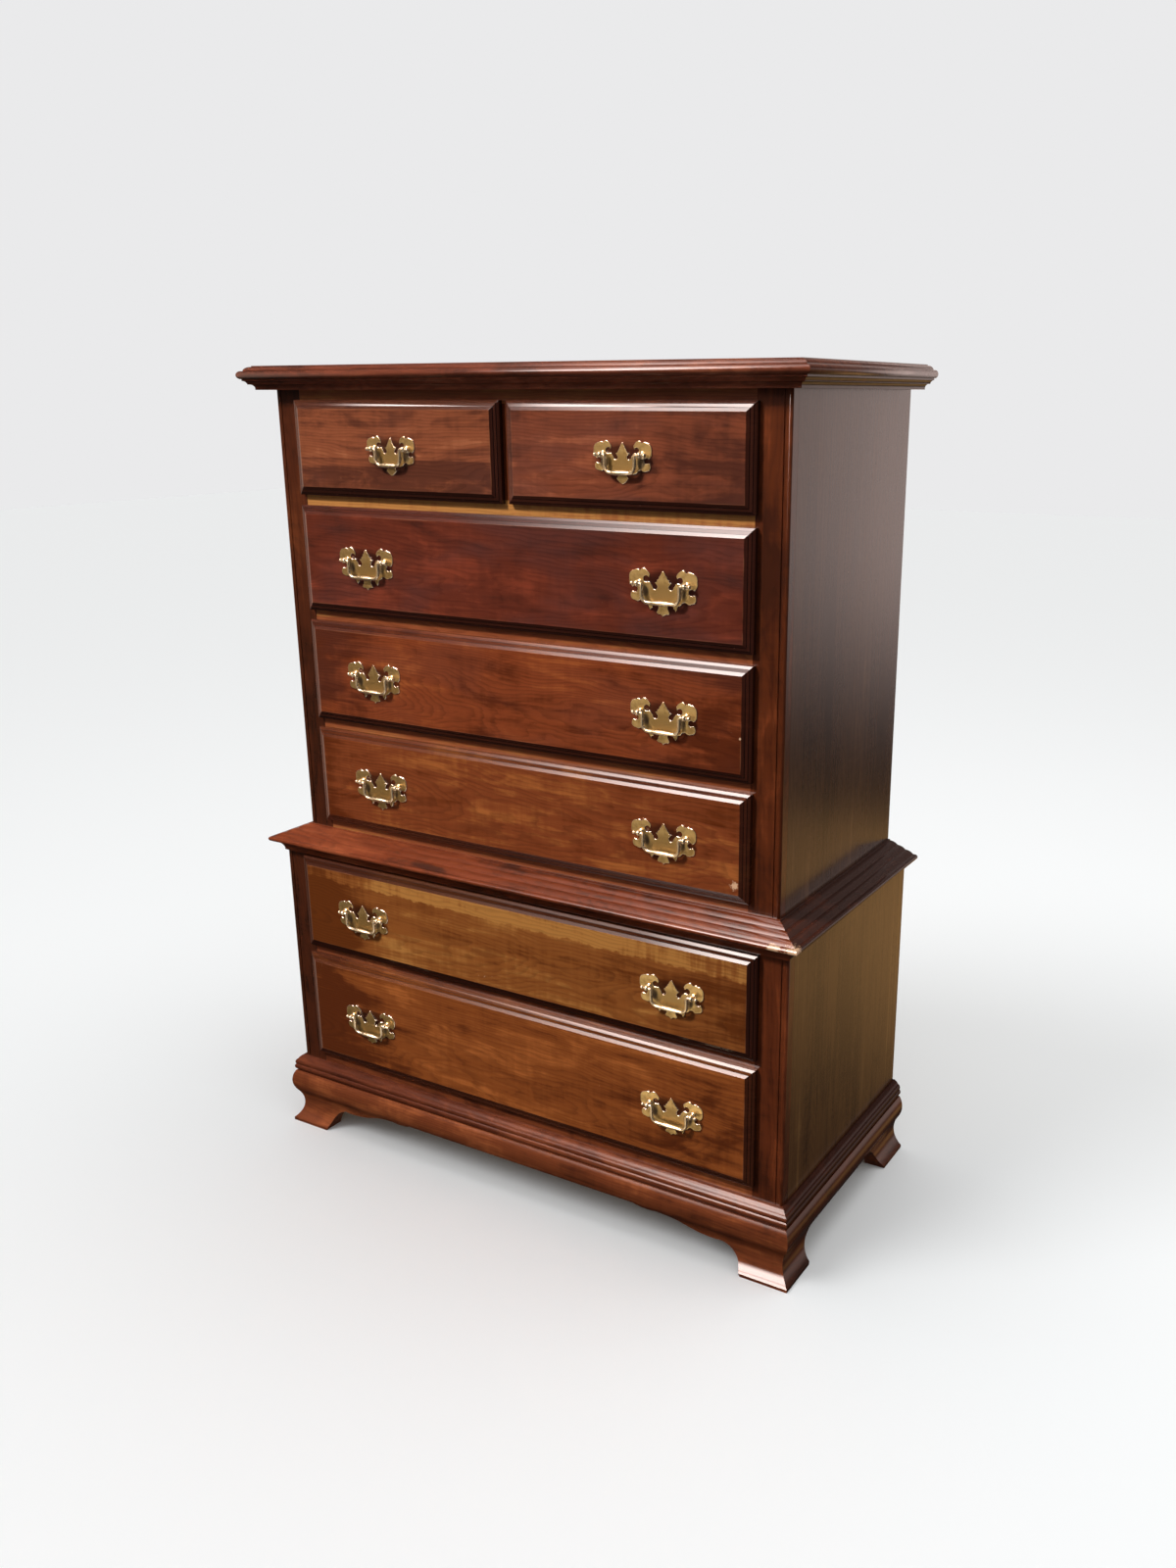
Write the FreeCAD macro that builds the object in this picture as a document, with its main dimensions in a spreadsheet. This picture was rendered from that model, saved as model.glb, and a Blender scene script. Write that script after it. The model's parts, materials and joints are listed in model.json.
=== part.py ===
import FreeCAD
import Part
import Sketcher
import math
import os
import re

# Chest-on-chest in millimetres: X across, -Y to the front, Z up, standing on Z = 0.
# The origin is at the middle of the footprint, pulls included.

# Driving dimensions
sizes = {
    # cases
    "lower_width": 969,
    "lower_depth": 453.5,
    "case_step": 31.5,            # the upper case is this much smaller on the front and on each side
    "side_thickness": 18,
    "stile_thickness": 20,
    "stile_reveal": 45,           # stile seen beside a drawer front
    "stile_bead": 9.5,            # bead on the outer corner, up to its groove
    "stile_groove": 1.6,
    "stile_round": 4,
    "stile_round_bulge": 1.2,
    "panel_thickness": 6,
    "panel_rabbet": 9,
    # heights, from the floor up
    "foot_height": 101,
    "base_moulding_height": 30,
    "lower_bottom_reveal": 21,
    "sixth_height": 196,
    "lower_reveal": 14.5,
    "fifth_height": 166,
    "lower_top_reveal": 1.5,
    "waist_height": 45,
    "upper_end_reveal": 15,
    "fourth_height": 164.5,
    "upper_reveal": 16,
    "third_height": 166,
    "second_height": 168.5,
    "top_height": 145,
    "cornice_height": 16,
    "top_thickness": 20,
    # deck of the lower case
    "deck_rise": 26,              # deck's top above the underside of the waist moulding
    "deck_thickness": 16,
    # top board's moulded edge
    "top_overhang": 42,
    "top_nose": 4.5,
    "top_nose_height": 12,
    "top_step": 3.5,
    "top_fillet": 1.5,
    "top_ovolo": 9.5,
    "top_ovolo_bulge": 1.6,
    # cornice moulding
    "cornice_soffit": 22,
    "cornice_reach": 36,
    "cornice_fillet": 2.5,
    "cornice_cove": 5.5,
    "cornice_cove_depth": 1.4,
    # waist moulding
    "waist_overhang": 22,
    "waist_nose": 4.5,
    "waist_nose_low": 17,
    "waist_nose_high": 25.5,
    "waist_lip": 3,
    "waist_cove_depth": 3,
    "waist_fillet": 3.5,
    "waist_ledge": 2,
    "waist_reed_bulge": 1.5,
    # base moulding
    "base_neck": 12,
    "base_fillet": 3,
    "base_reach": 13.5,
    "base_reed_height": 10,
    "base_reed_bulge": 2.3,
    "base_shoulder": 10.5,
    "base_top_reach": 3,
    "base_top_bulge": 1,
    # ogee boards and feet
    "board_inset": 14,            # inner face of the boards, behind the case's face
    "board_top_reach": 14.5,
    "ogee_turn": 59,              # height where the swell turns into the hollow
    "ogee_turn_reach": 13.5,
    "ogee_swell": 6.5,
    "ogee_hollow": 10.6,
    "toe_reach": 22,
    "toe_edge": 5,
    "toe_width": 80,
    "cove_low": 14,
    "cove_start": 86,
    "cove_end": 118,
    "cove_high": 42,
    "cove_depth": 5,
    "wing_end": 178,
    "wing_rise": 47,
    "wing_bulge": 3,
    "spur_start": 236,
    "spur_end": 276,
    "spur_rise": 58,
    "spur_bulge": 4,
    "apron_rise": 62,
    "side_apron_rise": 48,
    "rear_bracket_length": 95,
    "rear_bracket_thickness": 20,
    "block_size": 34,
    "block_lift": 8,
    # drawer fronts
    "front_gap": 0.5,
    "front_overlay": 5,
    "lip_thickness": 7.6,
    "outer_run": 4,               # moulded edge: three slopes with a small square step between them
    "outer_rise": 2.2,
    "middle_run": 4.8,
    "middle_rise": 1.2,
    "inner_run": 4.8,
    "inner_rise": 2.4,
    "edge_step": 0.5,
    "divider_reveal": 12,
    # drawer boxes
    "box_side_thickness": 12,
    "box_side_gap": 2,
    "box_run_gap": 0.3,
    "box_top_gap": 8,
    "box_rear_gap": 12,
    "bottom_thickness": 6,
    "bottom_lift": 8,
    "bottom_groove": 5,
    # runners and guides
    "runner_thickness": 16,
    "runner_inset": 4,
    "guide_height": 22,
    # pulls
    "pull_inset": 137,
    "top_pull_lift": 1.6,         # pivots above the middle of the drawer front
    "upper_pull_lift": 2.8,
    "lower_pull_lift": 0.5,
    "large_spacing": 76.2,
    "large_plate_rise": 20.8,
    "large_plate_drop": 45,
    "large_plate_ear": 16.4,
    "small_spacing": 63.5,
    "small_plate_rise": 18.8,
    "small_plate_drop": 39.5,
    "small_plate_ear": 14.8,
    "plate_thickness": 1.6,
    "shank_radius": 2.2,
    "shank_gap": 0.3,
    "shank_tail": 5,
    "collar_radius": 5.2,
    "collar_thickness": 1.8,
    "neck_radius": 2.9,
    "head_radius": 4.3,
    "post_standoff": 7.5,
    "nut_radius": 5,
    "nut_thickness": 3,
    "nut_gap": 0.1,
    "wire_radius": 2.1,
    "wire_gap": 0.06,
    "bail_bend": 3,
    "bail_corner": 10,
    "large_bail_drop": 25.5,
    "small_bail_drop": 24,
    "bail_head_gap": 0.5,
    "bail_ball_radius": 2.9,
    "grip_length": 34,
    "grip_radius": 2.9,
}

# Levels and planes worked out from the driving dimensions
places = {
    "front_thickness": "lip_thickness + outer_rise + middle_rise + inner_rise + 2 * edge_step",
    "plate_seat": "front_gap + front_thickness",
    "pivot_reach": "plate_seat + plate_thickness + post_standoff",
    "back": "(lower_depth + pivot_reach + head_radius) / 2",
    "lower_half": "lower_width / 2",
    "upper_half": "lower_half - case_step",
    "lower_face": "back - lower_depth",
    "upper_face": "lower_face + case_step",
    "lower_front_half": "lower_half - stile_reveal",
    "upper_front_half": "upper_half - stile_reveal",
    "lower_opening": "lower_front_half - front_overlay",
    "upper_opening": "upper_front_half - front_overlay",
    "divider_half": "divider_reveal / 2 + front_overlay",
    "base_top": "foot_height + base_moulding_height",
    "sixth_low": "base_top + lower_bottom_reveal",
    "sixth_high": "sixth_low + sixth_height",
    "fifth_low": "sixth_high + lower_reveal",
    "fifth_high": "fifth_low + fifth_height",
    "waist_low": "fifth_high + lower_top_reveal",
    "waist_high": "waist_low + waist_height",
    "deck_high": "waist_low + deck_rise",
    "deck_low": "deck_high - deck_thickness",
    "fourth_low": "waist_high + upper_end_reveal",
    "fourth_high": "fourth_low + fourth_height",
    "third_low": "fourth_high + upper_reveal",
    "third_high": "third_low + third_height",
    "second_low": "third_high + upper_reveal",
    "second_high": "second_low + second_height",
    "top_low": "second_high + upper_reveal",
    "top_high": "top_low + top_height",
    "cornice_low": "top_high + upper_end_reveal",
    "board_low": "cornice_low + cornice_height",
    "board_high": "board_low + top_thickness",
    "lower_low": "foot_height",
    "lower_high": "deck_low",
    "upper_low": "deck_high",
    "upper_high": "board_low",
    "panel_front": "back - panel_thickness",
    "runner_depth": "box_side_gap + box_side_thickness + runner_inset",
}

doc = FreeCAD.newDocument("ChestOnChest")
sheet = doc.addObject("Spreadsheet::Sheet", "Sizes")
for row, (name, size) in enumerate(sizes.items(), start=1):
    sheet.set(f"A{row}", name)
    sheet.set(f"B{row}", str(size))
    sheet.setAlias(f"B{row}", name)
doc.recompute()

nodes = []
margin = "1"  # how far a cut runs past what it cuts


def formula(text):
    """Spell out every size and place named in a formula."""
    def spelled(match):
        word = match.group()
        if word in places:
            return f"({formula(places[word])})"
        if word in sizes:
            return f"Sizes.{word}"
        return word
    return re.sub(r"[a-z][a-z_0-9]*", spelled, text)


def value(text):
    return float(sheet.evalExpression(formula(text)))


def bind(thing, field, text):
    thing.setExpression(field, formula(text))


def node(name, thing):
    """Mark an object as a sub-part with a file of its own."""
    thing.Label = name
    nodes.append(thing)
    return thing


# Solids

def box(name, x, y, z):
    """A board between (low, high) planes along each axis."""
    board = doc.addObject("Part::Box", name)
    for size, axis, (low, high) in zip(("Length", "Width", "Height"), "xyz", (x, y, z)):
        bind(board, size, f"({high}) - ({low})")
        bind(board, f"Placement.Base.{axis}", low)
    return board


def set_place(thing, x, y, z):
    for axis, text in zip("xyz", (x, y, z)):
        bind(thing, f"Placement.Base.{axis}", text)


# A primitive's own axis is Z: these turn it to X or to the front
turns = {
    "x": FreeCAD.Rotation(FreeCAD.Vector(0, 1, 0), 90),
    "front": FreeCAD.Rotation(FreeCAD.Vector(1, 0, 0), 90),
    "z": FreeCAD.Rotation(),
}


def rod(name, radius, length, start, axis):
    cylinder = doc.addObject("Part::Cylinder", name)
    cylinder.Placement.Rotation = turns[axis]
    bind(cylinder, "Radius", radius)
    bind(cylinder, "Height", length)
    set_place(cylinder, *start)
    return cylinder


def ball(name, radius, centre):
    sphere = doc.addObject("Part::Sphere", name)
    bind(sphere, "Radius", radius)
    set_place(sphere, *centre)
    return sphere


def cut(name, base, *tools):
    result = doc.addObject("Part::Cut", name)
    result.Base = base
    result.Tool = tools[0] if len(tools) == 1 else group(name + "_waste", tools)
    return result


def fuse(name, pieces):
    result = doc.addObject("Part::MultiFuse", name)
    result.Shapes = pieces
    result.Refine = True
    return result


def group(name, pieces):
    compound = doc.addObject("Part::Compound", name)
    compound.Links = list(pieces)
    return compound


def mirror(name, source):
    """The left-hand twin of a right-hand piece."""
    twin = doc.addObject("Part::Mirroring", name)
    twin.Source = source
    twin.Normal = FreeCAD.Vector(1, 0, 0)
    return twin


def copy_at(name, source, x, y, z):
    link = doc.addObject("App::Link", name)
    link.LinkedObject = source
    set_place(link, x, y, z)
    return link


# Sketches and features

def sketch_on(body, role, offset="0"):
    plane = [part for part in body.Origin.OriginFeatures if part.Role == role][0]
    sketch = body.newObject("Sketcher::SketchObject", body.Name + "_sketch")
    sketch.AttachmentSupport = [(plane, "")]
    sketch.MapMode = "FlatFace"
    bind(sketch, "AttachmentOffset.Base.z", offset)
    return sketch


def arc_between(start, end, bulge):
    """Arc whose middle stands off its chord by bulge, to the left of the way from start to end."""
    chord = end - start
    radius = chord.Length ** 2 / (8 * abs(bulge)) + abs(bulge) / 2
    left = FreeCAD.Vector(-chord.y, chord.x, 0).normalize()
    centre = (start + end) * 0.5 + left * (bulge - math.copysign(radius, bulge))
    ends = [math.atan2(point.y - centre.y, point.x - centre.x) for point in (start, end)]
    if bulge > 0:
        ends.reverse()
    if ends[1] < ends[0]:
        ends[1] += 2 * math.pi
    circle = Part.Circle(centre, FreeCAD.Vector(0, 0, 1), radius)
    return Part.ArcOfCircle(circle, ends[0], ends[1])


def draw(sketch, corners):
    """Closed outline through corners (u, v) or (u, v, bulge): the bulge bends the side that follows."""
    spots = [FreeCAD.Vector(value(corner[0]), value(corner[1]), 0) for corner in corners]
    ends = []
    arcs = []
    for index, corner in enumerate(corners):
        start = spots[index]
        following = (index + 1) % len(corners)
        end = spots[following]
        if len(corner) == 2:
            ends.append((sketch.addGeometry(Part.LineSegment(start, end)), 1, 2))
            continue
        bulge = value(corner[2])
        side = sketch.addGeometry(arc_between(start, end, bulge))
        ends.append((side, 2, 1) if bulge > 0 else (side, 1, 2))
        across = f"(({corners[following][0]}) - ({corner[0]}))"
        along = f"(({corners[following][1]}) - ({corner[1]}))"
        stand = f"abs({corner[2]})"
        arcs.append((side, f"({across} ^ 2 + {along} ^ 2) / (8 * {stand}) + {stand} / 2"))
    for index, (side, _, last) in enumerate(ends):
        next_side, next_first, _ = ends[(index + 1) % len(ends)]
        sketch.addConstraint(Sketcher.Constraint("Coincident", side, last, next_side, next_first))
    for (side, first, _), spot, corner in zip(ends, spots, corners):
        for kind, length, text in (("DistanceX", spot.x, corner[0]), ("DistanceY", spot.y, corner[1])):
            index = sketch.addConstraint(Sketcher.Constraint(kind, -1, 1, side, first, length))
            bind(sketch, f"Constraints[{index}]", text)
    for side, radius in arcs:
        index = sketch.addConstraint(Sketcher.Constraint("Radius", side, value(radius)))
        bind(sketch, f"Constraints[{index}]", radius)


def draw_circle(sketch, u, v, radius):
    centre = FreeCAD.Vector(value(u), value(v), 0)
    circle = sketch.addGeometry(Part.Circle(centre, FreeCAD.Vector(0, 0, 1), value(radius)))
    for kind, length, text in (("DistanceX", centre.x, u), ("DistanceY", centre.y, v)):
        index = sketch.addConstraint(Sketcher.Constraint(kind, -1, 1, circle, 3, length))
        bind(sketch, f"Constraints[{index}]", text)
    index = sketch.addConstraint(Sketcher.Constraint("Radius", circle, value(radius)))
    bind(sketch, f"Constraints[{index}]", radius)


def pad(body, sketch, length, back_length=None):
    """Pad along the sketch's normal, both ways where a second length is given."""
    feature = body.newObject("PartDesign::Pad", body.Name + "_pad")
    feature.Profile = sketch
    bind(feature, "Length", length)
    if back_length:
        feature.SideType = "Two sides"
        bind(feature, "Length2", back_length)
    sketch.Visibility = False
    return feature


def pocket(body, sketch):
    """Cut the sketch through the whole body, both ways, and make sure that it took something away."""
    doc.recompute()
    before = body.Shape.Volume
    feature = body.newObject("PartDesign::Pocket", body.Name + "_pocket")
    feature.Profile = sketch
    feature.SideType = "Symmetric"
    feature.Type = "ThroughAll"
    doc.recompute()
    if body.Shape.Volume > before - 1:
        raise RuntimeError(f"{feature.Name} cut nothing")
    return feature


# Mitred mouldings: a section is a list of (reach out of the case, rise above the moulding's foot)

def seen_from_left(section, face, level):
    """Section with its reach towards the front, which turns its arcs over."""
    return [(f"{face} - ({reach})", f"{level} + {rise}", *[f"-({text})" for text in bulge])
            for reach, rise, *bulge in section]


def front_length(name, section, half, face, level, inner, outer):
    """Length across the front, with both ends mitred through the case's corners."""
    body = doc.addObject("PartDesign::Body", name)
    profile = sketch_on(body, "YZ_Plane")
    draw(profile, seen_from_left(section, face, level))
    pad(body, profile, f"{half} + {outer}", f"{half} + {outer}")
    for sign in ("", "-"):
        mitre = sketch_on(body, "XY_Plane")
        draw(mitre, [
            (f"{sign}({half} + ({inner}))", f"{face} - ({inner})"),
            (f"{sign}({half} + {outer} + {margin})", f"{face} - ({outer}) - {margin}"),
            (f"{sign}({half} + {outer} + {margin})", f"{face} - ({inner})"),
        ])
        pocket(body, mitre)
    return body


def side_length(name, section, half, face, level, inner, outer):
    """Length along the right-hand side, from the mitre back to the back of the case."""
    body = doc.addObject("PartDesign::Body", name)
    profile = sketch_on(body, "XZ_Plane")
    draw(profile, [(f"{half} + {reach}", f"{level} + {rise}", *bulge) for reach, rise, *bulge in section])
    pad(body, profile, f"{outer} - ({face})", "back")
    mitre = sketch_on(body, "XY_Plane")
    draw(mitre, [
        (f"{half} + ({inner})", f"{face} - ({inner})"),
        (f"{half} + {outer} + {margin}", f"{face} - ({outer}) - {margin}"),
        (f"{half} + ({inner})", f"{face} - ({outer}) - {margin}"),
    ])
    pocket(body, mitre)
    return body


def mitred_frame(name, section, half, face, level, inner, outer):
    """Three lengths round the front and both sides of a case."""
    run = (section, half, face, level, inner, outer)
    right = side_length(name + "_right", *run)
    lengths = [front_length(name + "_front", *run), right, mirror(name + "_left", right)]
    return node(name, group(name, lengths))


# Cornice: flat soffit, then two coves out to the top board
cornice_mid = "cornice_fillet + cornice_cove"
mitred_frame("cornice_moulding", [
    ("0", "0"),
    ("cornice_soffit", "0"),
    ("cornice_soffit", "cornice_fillet", "cornice_cove_depth"),
    ("cornice_soffit + cornice_cove", cornice_mid),
    (f"cornice_soffit + {cornice_mid}", cornice_mid, "cornice_cove_depth"),
    ("cornice_reach", "cornice_height - cornice_fillet"),
    ("cornice_reach", "cornice_height"),
    ("0", "cornice_height"),
], "upper_half", "upper_face", "cornice_low", "0", "cornice_reach")

# Waist: cove under a round nose, then three reeds sloping in to the foot of the upper case
reed_start = "waist_overhang - waist_nose - waist_fillet"
reed_run = f"({reed_start} + case_step - waist_fillet) / 3"
reed_climb = "(waist_height - waist_ledge - waist_nose_high) / 3"
waist_section = [
    ("0", "0"),
    ("waist_lip", "0"),
    ("waist_lip", "waist_lip", "waist_cove_depth"),
    ("waist_overhang - waist_nose", "waist_nose_low", "-waist_nose"),
    ("waist_overhang - waist_nose", "waist_nose_high"),
]
for reed in range(3):
    waist_section.append((f"{reed_start} - {reed} * {reed_run}", f"waist_nose_high + {reed} * {reed_climb}",
                          "-waist_reed_bulge"))
waist_section += [
    ("waist_fillet - case_step", "waist_height - waist_ledge"),
    ("waist_fillet - case_step", "waist_height"),
    ("-case_step", "waist_height"),
    ("-case_step", "deck_rise"),
    ("0", "deck_rise"),
]
mitred_frame("waist_moulding", waist_section,
             "lower_half", "lower_face", "waist_low", "-case_step", "waist_overhang")

# Base moulding: two reeds under a sloping shoulder
mitred_frame("base_moulding", [
    ("0", "0"),
    ("base_neck", "0"),
    ("base_neck", "base_fillet"),
    ("base_reach", "base_fillet", "-base_reed_bulge"),
    ("base_reach", "base_fillet + base_reed_height", "-base_reed_bulge"),
    ("base_shoulder", "base_fillet + 2 * base_reed_height", "-base_top_bulge"),
    ("base_top_reach", "base_moulding_height"),
    ("0", "base_moulding_height"),
], "lower_half", "lower_face", "foot_height", "0", "base_reach + base_reed_bulge")

# Ogee boards: each ends in feet, and its lower edge is sawn to shape between them
ogee_section = [
    ("-board_inset", "0"),
    ("toe_reach", "0"),
    ("toe_reach", "toe_edge", "ogee_hollow"),
    ("ogee_turn_reach", "ogee_turn", "-ogee_swell"),
    ("board_top_reach", "foot_height"),
    ("-board_inset", "foot_height"),
]
ogee_outer = "toe_reach + ogee_swell"
ogee_run = (ogee_section, "lower_half", "lower_face", "0", "-board_inset", ogee_outer)
below = f"-{margin}"

front_board = front_length("base_front_board", *ogee_run)
half_edge = [
    ("toe_width", below),
    ("toe_width", "0"),
    ("cove_start", "cove_low", "-cove_depth"),
    ("cove_end", "cove_high", "wing_bulge"),
    ("wing_end", "wing_rise", "-wing_bulge"),
    ("spur_start", "spur_rise", "spur_bulge"),
    ("spur_end", "apron_rise"),
]
toe = "lower_half + toe_reach"
right_edge = [(f"{toe} - ({along})", rise, *bulge) for along, rise, *bulge in half_edge]
left_edge = []
for index in range(len(half_edge) - 1, -1, -1):
    along, rise = half_edge[index][:2]
    bulge = half_edge[index - 1][2:] if index else ()
    left_edge.append((f"({along}) - ({toe})", rise, *bulge))
front_arch = sketch_on(front_board, "XZ_Plane")
draw(front_arch, right_edge + left_edge)
pocket(front_board, front_arch)
node("base_front_board", front_board)

right_board = side_length("base_right_board", *ogee_run)
front_toe = "lower_face - toe_reach"
side_edge = [
    (f"{front_toe} + toe_width", below),
    (f"{front_toe} + toe_width", "0"),
    (f"{front_toe} + cove_start", "cove_low", "cove_depth"),
    (f"{front_toe} + cove_end", "side_apron_rise"),
    ("back - cove_end", "side_apron_rise", "cove_depth"),
    ("back - cove_start", "cove_low"),
    ("back - toe_width", "0"),
    ("back - toe_width", below),
]
side_arch = sketch_on(right_board, "YZ_Plane")
draw(side_arch, side_edge)
pocket(right_board, side_arch)
node("base_right_board", right_board)
node("base_left_board", mirror("base_left_board", right_board))

board_inner = "lower_half - board_inset"
right_bracket = box("rear_bracket_right", (f"{board_inner} - rear_bracket_length", board_inner),
                    ("back - rear_bracket_thickness", "back"), ("0", "foot_height"))
node("rear_foot_brackets", group("rear_foot_brackets", [
    right_bracket, mirror("rear_bracket_left", right_bracket)]))

front_block = box("front_block", (f"{board_inner} - block_size", board_inner),
                  ("lower_face + board_inset", "lower_face + board_inset + block_size"),
                  ("block_lift", "foot_height"))
rear_block = box("rear_block", (f"{board_inner} - block_size", board_inner),
                 ("back - rear_bracket_thickness - block_size", "back - rear_bracket_thickness"),
                 ("block_lift", "foot_height"))
node("foot_glue_blocks", group("foot_glue_blocks", [
    front_block, rear_block, mirror("front_block_left", front_block), mirror("rear_block_left", rear_block)]))

# Top board: the same moulded edge on the front and both ends, square at the back
top_edge = [
    ("top_overhang - top_nose", "0", "-top_nose"),
    ("top_overhang - top_nose", "top_nose_height"),
    ("top_overhang - top_nose - top_step", "top_nose_height"),
    ("top_overhang - top_nose - top_step", "top_nose_height + top_fillet", "-top_ovolo_bulge"),
    ("top_overhang - top_nose - top_step - top_ovolo", "top_thickness - top_fillet"),
    ("top_overhang - top_nose - top_step - top_ovolo", "top_thickness"),
]
top_board = doc.addObject("PartDesign::Body", "top_board")
ends = sketch_on(top_board, "XZ_Plane")
right_end = [(f"upper_half + ({reach})", f"board_low + {rise}", *bulge) for reach, rise, *bulge in top_edge]
left_end = []
for index in range(len(top_edge) - 1, -1, -1):
    reach, rise = top_edge[index][:2]
    bulge = top_edge[index - 1][2:] if index else ()
    left_end.append((f"-(upper_half + ({reach}))", f"board_low + {rise}", *bulge))
draw(ends, right_end + left_end)
pad(top_board, ends, "top_overhang - (upper_face)", "back")
front_waste = sketch_on(top_board, "YZ_Plane")
draw(front_waste, seen_from_left(top_edge, "upper_face", "board_low") + [
    (f"upper_face - top_overhang - {margin}", "board_high"),
    (f"upper_face - top_overhang - {margin}", "board_low"),
])
pocket(top_board, front_waste)
node("top_board", top_board)


# Case sides, stiles and rails

def side_panel(case):
    """Right-hand side, rabbeted at the back for the back panel, and its twin."""
    half = f"{case}_half"
    height = (f"{case}_low", f"{case}_high")
    inside = f"{half} - side_thickness"
    edge = f"{inside} + panel_rabbet"
    board = box(f"{case}_side_board", (inside, half), (f"{case}_face + stile_thickness", "back"), height)
    rabbet = box(f"{case}_side_rabbet", (inside, edge), ("panel_front", "back"), height)
    right = node(f"{case}_right_side", cut(f"{case}_right_side", board, rabbet))
    node(f"{case}_left_side", mirror(f"{case}_left_side", right))
    panel = box(f"{case}_back_panel", (f"-({edge})", edge), ("panel_front", "back"), height)
    node(f"{case}_back_panel", panel)


def stile(case):
    """Right-hand front stile with a bead worked on its outer corner, and its twin."""
    half = f"{case}_half"
    face = f"{case}_face"
    groove = f"{half} - stile_bead"
    back = f"{face} + stile_thickness"
    body = doc.addObject("PartDesign::Body", f"{case}_right_stile")
    section = sketch_on(body, "XY_Plane", f"{case}_low")
    draw(section, [
        (f"{case}_opening", face),
        (f"{groove} - stile_groove", face),
        (f"{groove} - stile_groove", f"{face} + stile_groove"),
        (groove, f"{face} + stile_groove"),
        (groove, face),
        (f"{half} - stile_round", face, "-stile_round_bulge"),
        (half, f"{face} + stile_round"),
        (half, back),
        (f"{case}_opening", back),
    ])
    pad(body, section, f"{case}_high - ({case}_low)")
    right = node(f"{case}_right_stile", body)
    node(f"{case}_left_stile", mirror(f"{case}_left_stile", right))


def rails(case, levels):
    """Rails between the stiles, each behind the lips of the drawers above and below it."""
    across = (f"-({case}_opening)", f"{case}_opening")
    depth = (f"{case}_face", f"{case}_face + stile_thickness")
    bars = [box(f"{case}_rail", across, depth, level) for level in levels]
    node(f"{case}_rails", group(f"{case}_rails", bars))


for case in ("upper", "lower"):
    side_panel(case)
    stile(case)

rails("upper", [
    ("upper_low", "fourth_low + front_overlay"),
    ("fourth_high - front_overlay", "third_low + front_overlay"),
    ("third_high - front_overlay", "second_low + front_overlay"),
    ("second_high - front_overlay", "top_low + front_overlay"),
    ("top_high - front_overlay", "upper_high"),
])
rails("lower", [
    ("lower_low", "sixth_low + front_overlay"),
    ("sixth_high - front_overlay", "fifth_low + front_overlay"),
    ("fifth_high - front_overlay", "lower_high"),
])
node("small_drawer_divider", box("small_drawer_divider", ("-(divider_half)", "divider_half"),
                                 ("upper_face", "upper_face + stile_thickness"),
                                 ("top_low + front_overlay", "top_high - front_overlay")))
node("deck_board", box("deck_board", ("-(lower_half)", "lower_half"), ("lower_face", "back"),
                       ("deck_low", "deck_high")))


# Drawer runners behind the rails, and guides that keep the drawers straight

def runners(case, drawers):
    depth = (f"{case}_face + stile_thickness", "panel_front")
    wall = f"{case}_half - side_thickness"
    bars = []
    strips = []
    for drawer in drawers:
        seat = f"{drawer}_low + front_overlay"
        bar = box(f"{drawer}_runner", (f"{case}_opening - runner_depth", wall), depth,
                  (f"{seat} - runner_thickness", seat))
        strip = box(f"{drawer}_guide", (f"{case}_opening", wall), depth, (seat, f"{seat} + guide_height"))
        bars += [bar, mirror(f"{drawer}_runner_left", bar)]
        strips += [strip, mirror(f"{drawer}_guide_left", strip)]
    if case == "upper":
        seat = "top_low + front_overlay"
        reach = "divider_half + runner_depth"
        bars.append(box("middle_runner", (f"-({reach})", reach), depth, (f"{seat} - runner_thickness", seat)))
        strips.append(box("middle_guide", ("-(divider_half)", "divider_half"), depth,
                          (seat, f"{seat} + guide_height")))
    node(f"{case}_drawer_runners", group(f"{case}_drawer_runners", bars))
    node(f"{case}_drawer_guides", group(f"{case}_drawer_guides", strips))


runners("upper", ["fourth", "third", "second", "top"])
runners("lower", ["sixth", "fifth"])


# Pull hardware, made once and copied to each place

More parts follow.
